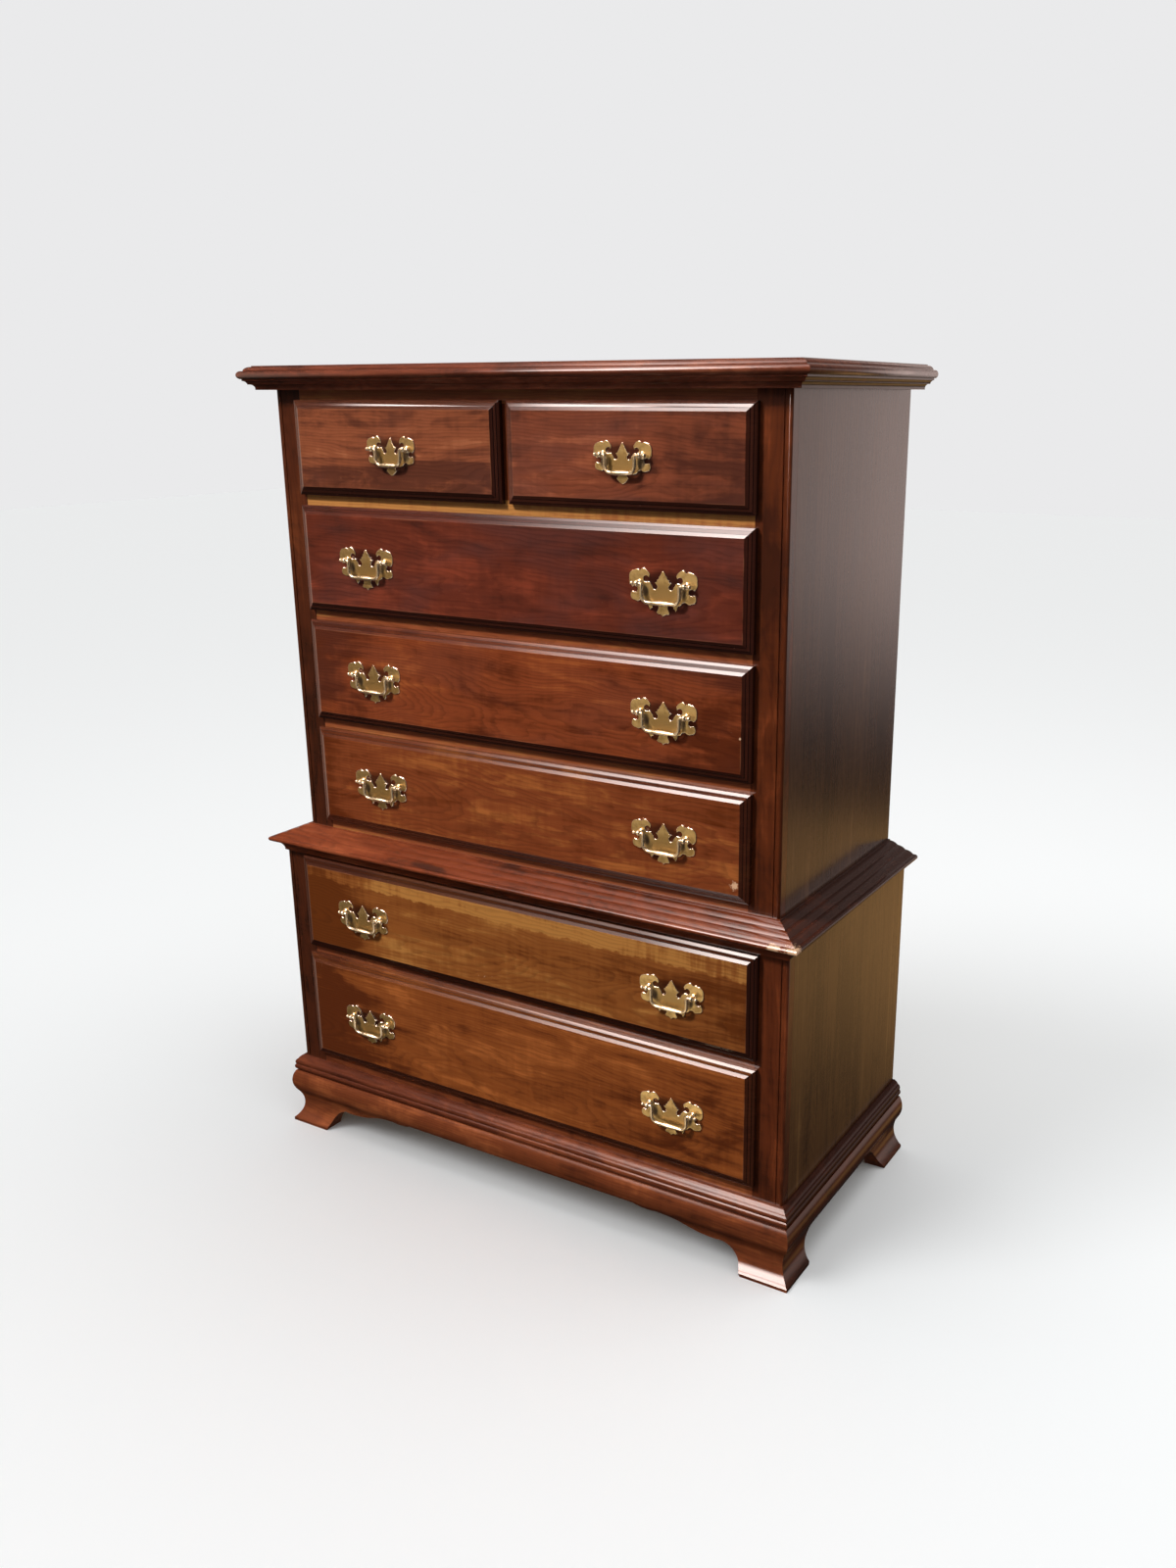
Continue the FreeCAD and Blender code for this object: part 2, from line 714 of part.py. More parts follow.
def plate_outline(spacing, rise, drop, ear, large):
    """Closed wire of a bat-wing plate. Across, 1 is a post and 2 the plate's end. Up, 1 is its top and -1
    its bottom. A third number is an arc's bulge as a share of its chord, to the left of the way round."""
    leaf = [(0, 0.87), (0.055, 0.78)]
    if large:
        leaf += [(0.11, 0.58), (0.17, 0.48), (0.175, 0.36), (0.26, 0.26)]
    leaf += [(0.245, 0.155), (0.35, 0.10), (0.275, -0.02, -0.85)]
    wing = [
        (0.44, -0.077), (0.525, 0.02, 0.15), (0.61, 0.13), (0.67, 0.10, -1.2),
        (0.60, 0.38), (0.56, 0.60, 0.1), (0.80, 1.0, 0.2), (0.963, 0.81, 0.2),
        (1.42, 0.86, 0.24), (2.0, 0.28, 0.18), (1.665, -0.134, -1.4), (1.646, -0.26, 0.15),
        (1.86, -0.343, 0.28), (1.476, -0.538, 0.12), (1.04, -0.552, -0.2), (0.81, -0.54, 0.12),
        (0.62, -0.637, 0.1),
    ]
    if large:
        wing += [(0.525, -0.82, -0.1), (0.44, -0.725, -0.62), (0.2, -0.754), (0.278, -0.873, 0.2),
                 (0.142, -0.923, -0.1), (0, -1)]
    else:
        wing += [(0.5, -0.66), (0.42, -0.66, -0.45), (0.22, -0.72), (0.31, -0.8, 0.06), (0, -1)]

    def spot(point, side):
        across = point[0] * spacing / 2 if point[0] <= 1 else spacing / 2 + (point[0] - 1) * ear
        up = point[1] * (rise if point[1] > 0 else drop)
        return FreeCAD.Vector(side * across, up, 0)

    edges = []
    corners = leaf + wing
    for side in (1, -1):
        for point, following in zip(corners, corners[1:]):
            start = spot(point, side)
            end = spot(following, side)
            if len(point) == 2:
                edges.append(Part.LineSegment(start, end).toShape())
                continue
            edges.append(arc_between(start, end, side * point[2] * (end - start).Length).toShape())
    return Part.Wire(Part.__sortEdges__(edges))


def back_plate(name, kind, large):
    """Fretted plate standing on its drawer front, its face towards the front, bored for the two posts."""
    spacing = value(f"{kind}_spacing")
    wire = plate_outline(spacing, value(f"{kind}_plate_rise"), value(f"{kind}_plate_drop"),
                         value(f"{kind}_plate_ear"), large)
    face = Part.Face(wire)
    bore = value("shank_radius + shank_gap")
    for side in (-1, 1):
        circle = Part.makeCircle(bore, FreeCAD.Vector(side * spacing / 2, 0, 0))
        face = face.cut(Part.Face(Part.Wire(circle)))
    face.rotate(FreeCAD.Vector(0, 0, 0), FreeCAD.Vector(1, 0, 0), 90)
    plate = doc.addObject("Part::Feature", name)
    plate.Shape = face.extrude(FreeCAD.Vector(0, -value("plate_thickness"), 0))
    return plate


def post():
    """Post on the plate's face: collar, neck and ball head, bored across for the bail, and a shank."""
    shank_length = "plate_thickness + front_thickness + nut_thickness + shank_tail"
    pieces = [
        rod("post_shank", "shank_radius", shank_length, ("0", shank_length, "0"), "front"),
        rod("post_collar", "collar_radius", "collar_thickness", ("0", "0", "0"), "front"),
        rod("post_neck", "neck_radius", "post_standoff", ("0", "0", "0"), "front"),
        ball("post_head", "head_radius", ("0", "-post_standoff", "0")),
    ]
    reach = f"head_radius + {margin}"
    eye = rod("post_eye", "wire_radius + wire_gap", f"2 * ({reach})",
              (f"-({reach})", "-post_standoff", "0"), "x")
    return cut("post", fuse("post_blank", pieces), eye)


def nut():
    blank = doc.addObject("Part::Prism", "nut_blank")
    blank.Polygon = 6
    blank.Placement.Rotation = turns["front"]
    bind(blank, "Circumradius", "nut_radius")
    bind(blank, "Height", "nut_thickness")
    bore = rod("nut_bore", "shank_radius + nut_gap", f"nut_thickness + 2 * {margin}",
               ("0", margin, "0"), "front")
    return cut("nut", blank, bore)


def ring(name, radius, centre, first):
    """Quarter of a wire ring in the XZ plane, from the angle first, counted from X towards Z."""
    torus = doc.addObject("Part::Torus", name)
    torus.Placement.Rotation = FreeCAD.Rotation(FreeCAD.Vector(1, 0, 0), 90).multiply(
        FreeCAD.Rotation(FreeCAD.Vector(0, 0, 1), first))
    torus.Angle3 = 90
    bind(torus, "Radius1", radius)
    bind(torus, "Radius2", "wire_radius")
    set_place(torus, *centre)
    return torus


def bail(kind):
    """Swinging handle: pins in the posts' eyes, bends, legs, corners and a swelled grip. Its axis is X."""
    drop = f"{kind}_bail_drop"
    leg = f"({kind}_spacing / 2 - head_radius - bail_bend - bail_head_gap)"
    tip = f"({kind}_spacing / 2 + head_radius + bail_head_gap + bail_ball_radius)"
    pieces = []
    for sign, first in (("", 90), ("-", 0)):
        shoulder = f"{sign}({leg} + bail_bend)"
        inner = f"{sign}({leg} - bail_corner)"
        start = shoulder if not sign else f"-{tip}"
        pieces += [
            rod("bail_pin", "wire_radius", f"{tip} - ({leg} + bail_bend)", (start, "0", "0"), "x"),
            ball("bail_ball", "bail_ball_radius", (f"{sign}{tip}", "0", "0")),
            rod("bail_leg", "wire_radius", f"{drop} - bail_corner - bail_bend",
                (f"{sign}{leg}", "0", f"bail_corner - {drop}"), "z"),
            ring("bail_shoulder", "bail_bend", (shoulder, "0", "-bail_bend"), first),
            ring("bail_corner", "bail_corner", (inner, "0", f"bail_corner - {drop}"), (first + 180) % 360),
        ]
    pieces.append(rod("bail_bottom", "wire_radius", f"2 * ({leg} - bail_corner)",
                      (f"-({leg} - bail_corner)", "0", f"-{drop}"), "x"))
    grip = doc.addObject("Part::Ellipsoid", "bail_grip")
    grip.Placement.Rotation = turns["x"]
    bind(grip, "Radius1", "grip_length / 2")
    bind(grip, "Radius2", "grip_radius")
    bind(grip, "Radius3", "grip_radius")
    set_place(grip, "0", "0", f"-{drop}")
    return fuse(f"{kind}_bail", pieces + [grip])


large_plate = back_plate("large_plate", "large", True)
small_plate = back_plate("small_plate", "small", False)
post_pattern = post()
nut_pattern = nut()
large_bail = bail("large")
small_bail = bail("small")


# Drawers

def drawer_front(name, case, left, right, low, high, bores):
    """Lipped front: a square lip over the case, then three sloping steps up to the face."""
    body = doc.addObject("PartDesign::Body", name)
    seat = f"({case}_face - front_gap)"
    inset = "0"
    height = "0"
    for rise, run in (("lip_thickness", "0"), ("outer_rise", "outer_run"), ("edge_step", "0"),
                      ("middle_rise", "middle_run"), ("edge_step", "0"), ("inner_rise", "inner_run")):
        layer = body.newObject("PartDesign::AdditiveWedge", name + "_layer")
        bind(layer, "Ymax", f"{seat} - ({height})")
        bind(layer, "X2min", f"({left}) + ({inset})")
        bind(layer, "X2max", f"({right}) - ({inset})")
        bind(layer, "Z2min", f"({low}) + ({inset})")
        bind(layer, "Z2max", f"({high}) - ({inset})")
        inset += f" + {run}"
        height += f" + {rise}"
        bind(layer, "Ymin", f"{seat} - ({height})")
        bind(layer, "Xmin", f"({left}) + ({inset})")
        bind(layer, "Xmax", f"({right}) - ({inset})")
        bind(layer, "Zmin", f"({low}) + ({inset})")
        bind(layer, "Zmax", f"({high}) - ({inset})")
    holes = sketch_on(body, "XZ_Plane", f"-{seat}")
    for across, level in bores:
        draw_circle(holes, across, level, "shank_radius + shank_gap")
    pocket(body, holes)
    return node(name, body)


def drawer_box(name, case, left, right, low, high):
    """Two grooved sides, a bottom panel in the grooves, and a back standing on the panel."""
    start = f"{case}_face - front_gap"
    depth = (start, "panel_front - box_rear_gap")
    outer = (f"({left}) + front_overlay + box_side_gap", f"({right}) - front_overlay - box_side_gap")
    inner = (f"{outer[0]} + box_side_thickness", f"{outer[1]} - box_side_thickness")
    height = (f"{low} + front_overlay + box_run_gap", f"{high} - front_overlay - box_top_gap")
    panel_level = (f"{height[0]} + bottom_lift", f"{height[0]} + bottom_lift + bottom_thickness")
    panel_across = (f"{inner[0]} - bottom_groove", f"{inner[1]} + bottom_groove")
    pieces = []
    for label, across, groove in (("left", (outer[0], inner[0]), (panel_across[0], inner[0])),
                                  ("right", (inner[1], outer[1]), (inner[1], panel_across[1]))):
        board = box(f"{name}_{label}_board", across, depth, height)
        waste = box(f"{name}_{label}_groove", groove, depth, panel_level)
        pieces.append(cut(f"{name}_{label}", board, waste))
    pieces.append(box(f"{name}_bottom", panel_across, depth, panel_level))
    pieces.append(box(f"{name}_back", inner, (f"{depth[1]} - box_side_thickness", depth[1]),
                      (panel_level[1], height[1])))
    return node(name, group(name, pieces))


def drawer(name, case, level, left, right, kind, lift, pulls):
    """A drawer with its pulls, given as (label, centre across) pairs."""
    low = f"{level}_low"
    high = f"{level}_high"
    pivot = f"({low} + {high}) / 2 + {lift}"
    seat = f"{case}_face - front_gap"
    plate_seat = f"{seat} - front_thickness"
    plate_face = f"{plate_seat} - plate_thickness"
    posts = [f"({centre}) {sign} {kind}_spacing / 2" for _, centre in pulls for sign in "-+"]
    bores = [(across, pivot) for across in posts]
    drawer_front(f"{name}_drawer_front", case, left, right, low, high, bores)
    drawer_box(f"{name}_drawer_box", case, left, right, low, high)
    plate = large_plate if kind == "large" else small_plate
    handle = large_bail if kind == "large" else small_bail
    fixed = [copy_at(f"{name}_plate", plate, centre, plate_seat, pivot) for _, centre in pulls]
    fixed += [copy_at(f"{name}_post", post_pattern, across, plate_face, pivot) for across in posts]
    nut_seat = f"{seat} + nut_thickness"
    fixed += [copy_at(f"{name}_nut", nut_pattern, across, nut_seat, pivot) for across in posts]
    node(f"{name}_pull_plates", group(f"{name}_pull_plates", fixed))
    for label, centre in pulls:
        hung = copy_at(f"{name}_{label}bail_copy", handle, centre, f"{plate_face} - post_standoff", pivot)
        node(f"{name}_{label}bail", group(f"{name}_{label}bail", [hung]))


small_middle = "(upper_front_half + divider_reveal / 2) / 2"
drawer("top_left", "upper", "top", "-(upper_front_half)", "-divider_reveal / 2", "small", "top_pull_lift",
       [("", f"-{small_middle}")])
drawer("top_right", "upper", "top", "divider_reveal / 2", "upper_front_half", "small", "top_pull_lift",
       [("", small_middle)])
for name, case in (("second", "upper"), ("third", "upper"), ("fourth", "upper"), ("fifth", "lower"),
                   ("sixth", "lower")):
    edge = f"{case}_front_half"
    drawer(name, case, name, f"-({edge})", edge, "large", f"{case}_pull_lift",
           [("left_", f"pull_inset - {edge}"), ("right_", f"{edge} - pull_inset")])

# Check every object, then write one file for each sub-part
doc.recompute()
for thing in doc.Objects:
    if "Invalid" in thing.State or "Error" in thing.State:
        raise RuntimeError(f"{thing.Label} failed: {thing.State}")
for thing in nodes:
    if thing.Shape.isNull() or not thing.Shape.isValid() or not thing.Shape.Solids:
        raise RuntimeError(f"{thing.Label} has no sound shape")

os.makedirs("parts", exist_ok=True)
for thing in nodes:
    thing.Shape.exportStep(f"parts/{thing.Label}.step")
print(f"wrote {len(nodes)} sub-parts")
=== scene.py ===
import cmath
import json
import math
import re

import bmesh
import bpy
from mathutils import Matrix, Vector

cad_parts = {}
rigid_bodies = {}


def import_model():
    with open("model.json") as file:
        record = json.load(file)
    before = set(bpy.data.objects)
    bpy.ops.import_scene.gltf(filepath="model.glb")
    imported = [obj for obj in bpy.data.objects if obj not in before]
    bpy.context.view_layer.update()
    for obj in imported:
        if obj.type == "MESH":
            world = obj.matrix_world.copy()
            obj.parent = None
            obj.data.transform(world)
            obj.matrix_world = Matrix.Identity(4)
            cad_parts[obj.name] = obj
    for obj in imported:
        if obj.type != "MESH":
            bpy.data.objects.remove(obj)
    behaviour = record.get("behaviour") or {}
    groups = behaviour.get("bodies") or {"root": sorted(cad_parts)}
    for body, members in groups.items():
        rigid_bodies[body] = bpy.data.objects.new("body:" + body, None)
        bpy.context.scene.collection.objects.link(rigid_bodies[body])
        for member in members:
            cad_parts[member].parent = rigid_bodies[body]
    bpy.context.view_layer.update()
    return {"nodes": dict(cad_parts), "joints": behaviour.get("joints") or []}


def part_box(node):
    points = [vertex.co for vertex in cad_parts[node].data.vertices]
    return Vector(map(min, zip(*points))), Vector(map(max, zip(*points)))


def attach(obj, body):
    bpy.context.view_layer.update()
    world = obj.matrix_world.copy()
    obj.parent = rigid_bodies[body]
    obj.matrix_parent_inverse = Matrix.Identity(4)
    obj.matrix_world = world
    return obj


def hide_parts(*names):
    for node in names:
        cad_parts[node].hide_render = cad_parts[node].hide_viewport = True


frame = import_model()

nodes = frame["nodes"]
scene = bpy.context.scene
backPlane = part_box("upper_back_panel")[1].y
print("frame loaded:", len(nodes), "nodes")


# Small helpers for node trees

def stain(red, green, blue):  # a colour as the eye sees it, 0 to 255
    def linear(share):
        return share / 12.92 if share <= 0.04045 else ((share + 0.055) / 1.055) ** 2.4
    return (linear(red / 255), linear(green / 255), linear(blue / 255), 1.0)


def stains(light, middle, dark):  # the three tones of one wood
    return {"light": stain(*light), "middle": stain(*middle), "dark": stain(*dark)}


def feed(tree, socket, value):
    if isinstance(value, bpy.types.NodeSocket):
        tree.links.new(value, socket)
    else:
        socket.default_value = value


def addNode(tree, kind, feeds=None, **settings):
    made = tree.nodes.new(kind)
    for name, value in settings.items():
        setattr(made, name, value)
    for socket, value in (feeds or {}).items():
        feed(tree, made.inputs[socket], value)
    return made


def calc(tree, operation, *values):
    made = tree.nodes.new("ShaderNodeMath")
    made.operation = operation
    for index, value in enumerate(values):
        feed(tree, made.inputs[index], value)
    return made.outputs[0]


def times(tree, first, second):
    return calc(tree, "MULTIPLY", first, second)


def plus(tree, first, second):
    return calc(tree, "ADD", first, second)


def minus(tree, first, second):
    return calc(tree, "SUBTRACT", first, second)


def scaled(tree, value, share, base):  # a share of the value, on top of the base
    return calc(tree, "MULTIPLY_ADD", value, share, base)


def vectorCalc(tree, operation, first, second=None, output=0):
    feeds = {0: first} if second is None else {0: first, 1: second}
    return addNode(tree, "ShaderNodeVectorMath", feeds, operation=operation).outputs[output]


def parted(tree, vector):  # x, y and z of a vector
    return addNode(tree, "ShaderNodeSeparateXYZ", {0: vector}).outputs


def rise(tree, value, low, high, start=0.0, end=1.0):  # a soft step from low to high
    made = addNode(tree, "ShaderNodeMapRange", interpolation_type="SMOOTHSTEP")
    sockets = ("Value", "From Min", "From Max", "To Min", "To Max")
    for socket, number in zip(sockets, (value, low, high, start, end)):
        feed(tree, made.inputs[socket], number)
    return made.outputs["Result"]


def fall(tree, value, low, high):
    return rise(tree, value, low, high, 1.0, 0.0)


def blendColour(tree, share, first, second, mode="MIX"):
    made = addNode(tree, "ShaderNodeMix", data_type="RGBA", blend_type=mode)
    for index, value in zip((0, 6, 7), (share, first, second)):
        feed(tree, made.inputs[index], value)
    return made.outputs[2]


# noise drawn out along the grain
def stretched(tree, vector, seed, stretch, detail=3.0, roughness=0.55, swirl=0.0):
    pulled = vectorCalc(tree, "MULTIPLY", vector, stretch)
    feeds = {"Vector": pulled, "W": seed, "Scale": 1.0, "Detail": detail, "Roughness": roughness,
             "Distortion": swirl}
    return addNode(tree, "ShaderNodeTexNoise", feeds, noise_dimensions="4D").outputs[0]


def reachFrom(tree, vector, centre, spread):  # 0 at the middle of a place, 1 at its border
    shares = vectorCalc(tree, "DIVIDE", vectorCalc(tree, "SUBTRACT", vector, centre), spread)
    return vectorCalc(tree, "LENGTH", shares, output="Value")


def newGroup(name, takes, gives):
    tree = bpy.data.node_groups.new(name, "ShaderNodeTree")
    kinds = {"value": "NodeSocketFloat", "vector": "NodeSocketVector", "colour": "NodeSocketColor"}
    for socket, kind in takes.items():
        tree.interface.new_socket(socket, in_out="INPUT", socket_type=kinds[kind])
    for socket, kind in gives.items():
        tree.interface.new_socket(socket, in_out="OUTPUT", socket_type=kinds[kind])
    return tree, tree.nodes.new("NodeGroupInput").outputs, tree.nodes.new("NodeGroupOutput").inputs


def useGroup(tree, group, feeds):
    made = tree.nodes.new("ShaderNodeGroup")
    made.node_tree = group
    for socket, value in feeds.items():
        feed(tree, made.inputs[socket], value)
    return made.outputs


# Effects that several finishes share

figureValues = ["boardWidth", "heart", "boardContrast", "seamLevel", "seamTone", "bandLevel", "bandTop",
                "bandTone", "bandTilt", "seed", "ringWidth", "ringDepth", "ringTilt", "ringStrength", "shade",
                "cloud", "streak", "curl", "endFrom", "endTone", "startFrom", "startTone", "bloom"]
figureStains = ["light", "middle", "dark", "bloomTint"]
figureMarks = {  # stretch along and across the grain, then detail, roughness and swirl
    "ragged": ((55, 30, 30), 3), "wander": ((2.6, 9, 9), 2), "ripple": ((14, 60, 60), 2),
    "broad": ((2.6, 7, 7), 2, 0.5, 0.4), "cloud": ((9, 30, 30), 4, 0.58, 0.9),
    "streak": ((2.2, 150, 150), 3, 0.6), "curl": ((95, 9, 9), 2), "fibre": ((28, 1100, 1100), 2, 0.7),
    "pore": ((160, 2600, 2600), 1), "haze": ((5, 12, 12), 3, 0.55, 0.6),
}
figureSize = {
    "glueLine": (0.0002, 0.0009), "boardStep": 3.17, "boardSlide": 5.0, "heartShift": 0.05, "wander": 0.09,
    "ripple": 0.010, "lateWood": (0.35, 0.92), "pore": (0.62, 0.78), "bandRagged": 0.020, "bandSoft": 0.005,
    "bandCurl": (0.3, 0.7, 0.7, 1.1), "seamSoft": 0.0006, "endReach": 0.35, "startReach": 0.2,
    "haze": (0.42, 0.66), "broadSeed": 9.3, "hazeSeed": 4.1,
}
figureShade = {"ink": (0.012, 0.004, 0.002, 1), "pore": 0.14, "glue": 0.18, "fibre": 0.22, "dullCloud": 0.6,
               "dullFibre": 0.4, "dull": (0.25, 0.75, 0.34, 0.50)}


def socketName(key):  # boardWidth becomes Board Width
    return re.sub("([A-Z])", r" \1", key).title()


def makeCherryFigure():  # grain runs along X, Across is where boards are glued edge to edge
    takes = {"Vector": "vector", "Across": "value", **{socketName(key): "value" for key in figureValues},
             **{socketName(key): "colour" for key in figureStains}}
    gives = {"Color": "colour", "Roughness": "value", "Height": "value"}
    tree, given, wanted = newGroup("cherryFigure", takes, gives)
    size = figureSize
    seed = given["Seed"]
    across = given["Across"]
    along = parted(tree, given["Vector"])[0]
    ragged = stretched(tree, given["Vector"], seed, *figureMarks["ragged"])
    # boards glued side by side, each with its own tone and figure
    fromHeart = minus(tree, across, given["Heart"])
    slot = plus(tree, calc(tree, "DIVIDE", fromHeart, given["Board Width"]), 0.5)
    board = calc(tree, "FLOOR", slot)
    into = calc(tree, "FRACT", slot)
    nearer = calc(tree, "MINIMUM", into, minus(tree, 1.0, into))
    glueLine = fall(tree, times(tree, nearer, given["Board Width"]), *size["glueLine"])
    boardSeed = plus(tree, times(tree, board, size["boardStep"]), seed)
    pick = addNode(tree, "ShaderNodeTexWhiteNoise", {"W": boardSeed}, noise_dimensions="1D")
    chance = addNode(tree, "ShaderNodeSeparateColor", {0: pick.outputs["Color"]}).outputs
    boardTone = times(tree, minus(tree, chance[0], 0.5), given["Board Contrast"])
    slide = addNode(tree, "ShaderNodeCombineXYZ", {0: times(tree, chance[1], size["boardSlide"])}).outputs[0]
    vector = vectorCalc(tree, "ADD", given["Vector"], slide)

    def mark(key, markSeed=seed):
        return stretched(tree, vector, markSeed, *figureMarks[key])

    # yearly rings cut at a slant, which leaves arches on the face
    wander = scaled(tree, mark("wander"), size["wander"], -size["wander"] / 2)
    ripple = scaled(tree, mark("ripple"), size["ripple"], -size["ripple"] / 2)
    depth = scaled(tree, along, given["Ring Tilt"], given["Ring Depth"])
    depth = plus(tree, depth, wander)
    off = minus(tree, fromHeart, times(tree, board, given["Board Width"]))
    off = plus(tree, off, times(tree, chance[2], size["heartShift"]))
    square = plus(tree, times(tree, depth, depth), times(tree, off, off))
    radius = plus(tree, calc(tree, "SQRT", square), ripple)
    ring = calc(tree, "FRACT", calc(tree, "DIVIDE", radius, given["Ring Width"]))
    early, late = size["lateWood"]
    lateWood = times(tree, rise(tree, ring, early, late), fall(tree, ring, late, 1.0))
    # clouds in the stain, long streaks, cross curl, fibres
    broad = mark("broad", plus(tree, seed, size["broadSeed"]))
    cloud = mark("cloud")
    streak = mark("streak")
    curl = mark("curl")
    fibre = mark("fibre")
    pore = rise(tree, mark("pore"), *size["pore"])
    hazy = rise(tree, mark("haze", plus(tree, seed, size["hazeSeed"])), *size["haze"])
    # the light strip along an upper edge has a ragged lower border
    border = scaled(tree, along, given["Band Tilt"], across)
    border = scaled(tree, minus(tree, ragged, 0.5), size["bandRagged"], border)
    band = rise(tree, border, given["Band Level"], plus(tree, given["Band Level"], size["bandSoft"]))
    band = times(tree, band, calc(tree, "LESS_THAN", across, given["Band Top"]))
    band = times(tree, band, rise(tree, curl, *size["bandCurl"]))
    seamFoot = minus(tree, given["Seam Level"], size["seamSoft"])
    below = fall(tree, across, seamFoot, given["Seam Level"])
    # painted shade: darker past End From and before Start From along the grain
    paintedEndShade = rise(tree, along, given["End From"], plus(tree, given["End From"], size["endReach"]))
    startFoot = minus(tree, given["Start From"], size["startReach"])
    paintedStartShade = fall(tree, along, startFoot, given["Start From"])
    # tone 0 is the dark stain, a half the middle one, 1 the light one
    tone = 0.5
    for noise, share in ((cloud, "Cloud"), (broad, "Shade"), (streak, "Streak"), (curl, "Curl")):
        tone = scaled(tree, minus(tree, noise, 0.5), given[share], tone)
    tone = plus(tree, tone, boardTone)
    tones = ((below, "Seam Tone"), (paintedEndShade, "End Tone"), (paintedStartShade, "Start Tone"), (band, "Band Tone"))
    for mask, share in tones:
        tone = scaled(tree, mask, given[share], tone)
    colour = blendColour(tree, rise(tree, tone, 0.0, 0.5), given["Dark"], given["Middle"])
    colour = blendColour(tree, rise(tree, tone, 0.5, 1.0), colour, given["Light"])
    colour = blendColour(tree, times(tree, hazy, given["Bloom"]), colour, given["Bloom Tint"])
    shade = times(tree, lateWood, given["Ring Strength"])
    paleFibre = minus(tree, 0.5, fibre)
    for mask, share in ((pore, "pore"), (glueLine, "glue"), (paleFibre, "fibre")):
        shade = scaled(tree, mask, figureShade[share], shade)
    feed(tree, wanted["Color"], blendColour(tree, shade, colour, figureShade["ink"]))
    dull = times(tree, fibre, figureShade["dullFibre"])
    dull = scaled(tree, cloud, figureShade["dullCloud"], dull)
    feed(tree, wanted["Roughness"], rise(tree, dull, *figureShade["dull"]))
    feed(tree, wanted["Height"], times(tree, minus(tree, fibre, pore), 0.5))
    return tree


mitreShift = 3.3  # the side lengths of a moulding take their grain this far along


def makeMitreTurn():  # grain follows each length of a mitred moulding
    takes = {"Vector": "vector", "Corner X": "value", "Corner Y": "value"}
    tree, given, wanted = newGroup("mitreTurn", takes, {"Vector": "vector"})
    x, y, z = parted(tree, given["Vector"])
    past = minus(tree, calc(tree, "ABSOLUTE", x), given["Corner X"])
    ahead = minus(tree, given["Corner Y"], y)
    side = calc(tree, "GREATER_THAN", past, ahead)
    sideways = addNode(tree, "ShaderNodeCombineXYZ", {0: plus(tree, y, mitreShift), 1: x, 2: z}).outputs[0]
    chosen = addNode(tree, "ShaderNodeMix", data_type="VECTOR")
    for index, value in zip((0, 4, 5), (side, given["Vector"], sideways)):
        feed(tree, chosen.inputs[index], value)
    feed(tree, wanted["Vector"], chosen.outputs[1])
    return tree


edgeMarks = {"handled": ((9, 30, 30), 3), "handledFrom": (0.38, 0.66), "arris": (0.0002, 0.0011),
             "step": (0.0001, 0.0009)}


def makeMouldedEdge():  # how far in from a drawer front's edge: slopes, the steps between them, then the face; the right-hand and under slopes also get a mask for painted shade
    takes = {"Vector": "vector", "Centre": "vector", "Half": "vector", "Outer": "value", "Middle": "value",
             "Inner": "value", "Seed": "value"}
    gives = {"Slopes": "value", "Painted Slope Shade": "value", "Steps": "value", "Rubbed": "value"}
    tree, given, wanted = newGroup("mouldedEdge", takes, gives)
    away = vectorCalc(tree, "SUBTRACT", given["Vector"], given["Centre"])
    left = vectorCalc(tree, "SUBTRACT", given["Half"], vectorCalc(tree, "ABSOLUTE", away))
    gap = parted(tree, left)
    side = parted(tree, away)
    inward = calc(tree, "MINIMUM", gap[0], gap[2])

    def apart(level):
        return calc(tree, "ABSOLUTE", minus(tree, inward, given[level]))

    slopes = calc(tree, "LESS_THAN", inward, given["Inner"])
    atEnd = calc(tree, "LESS_THAN", gap[0], gap[2])
    right = times(tree, atEnd, calc(tree, "GREATER_THAN", side[0], 0.0))
    under = times(tree, minus(tree, 1.0, atEnd), calc(tree, "LESS_THAN", side[2], 0.0))
    toStep = calc(tree, "MINIMUM", apart("Outer"), apart("Middle"))
    handled = stretched(tree, given["Vector"], given["Seed"], *edgeMarks["handled"])
    handled = rise(tree, handled, *edgeMarks["handledFrom"])
    arris = fall(tree, apart("Inner"), *edgeMarks["arris"])
    feed(tree, wanted["Slopes"], slopes)
    # painted shade: the right-hand and under slopes are marked for darkening
    feed(tree, wanted["Painted Slope Shade"], times(tree, slopes, plus(tree, right, under)))
    feed(tree, wanted["Steps"], fall(tree, toStep, *edgeMarks["step"]))
    feed(tree, wanted["Rubbed"], times(tree, arris, handled))
    return tree


wornMarks = {"ragged": ((260, 260, 260), 4, 0.6), "raggedShare": 1.8, "border": (1.25, 1.55)}


def makeWornSpot():  # one place where the finish is knocked off
    takes = {"Vector": "vector", "Place": "vector", "Reach": "value", "Seed": "value"}
    tree, given, wanted = newGroup("wornSpot", takes, {"Mask": "value"})
    apart = vectorCalc(tree, "DISTANCE", given["Vector"], given["Place"], "Value")
    ragged = stretched(tree, given["Vector"], given["Seed"], *wornMarks["ragged"])
    near = calc(tree, "DIVIDE", apart, given["Reach"])
    near = scaled(tree, ragged, wornMarks["raggedShare"], near)
    feed(tree, wanted["Mask"], fall(tree, near, *wornMarks["border"]))
    return tree


waxAndShadeMarks = {"ragged": ((90, 90, 90), 3), "raggedShare": 0.3, "border": (0.72, 1.18)}


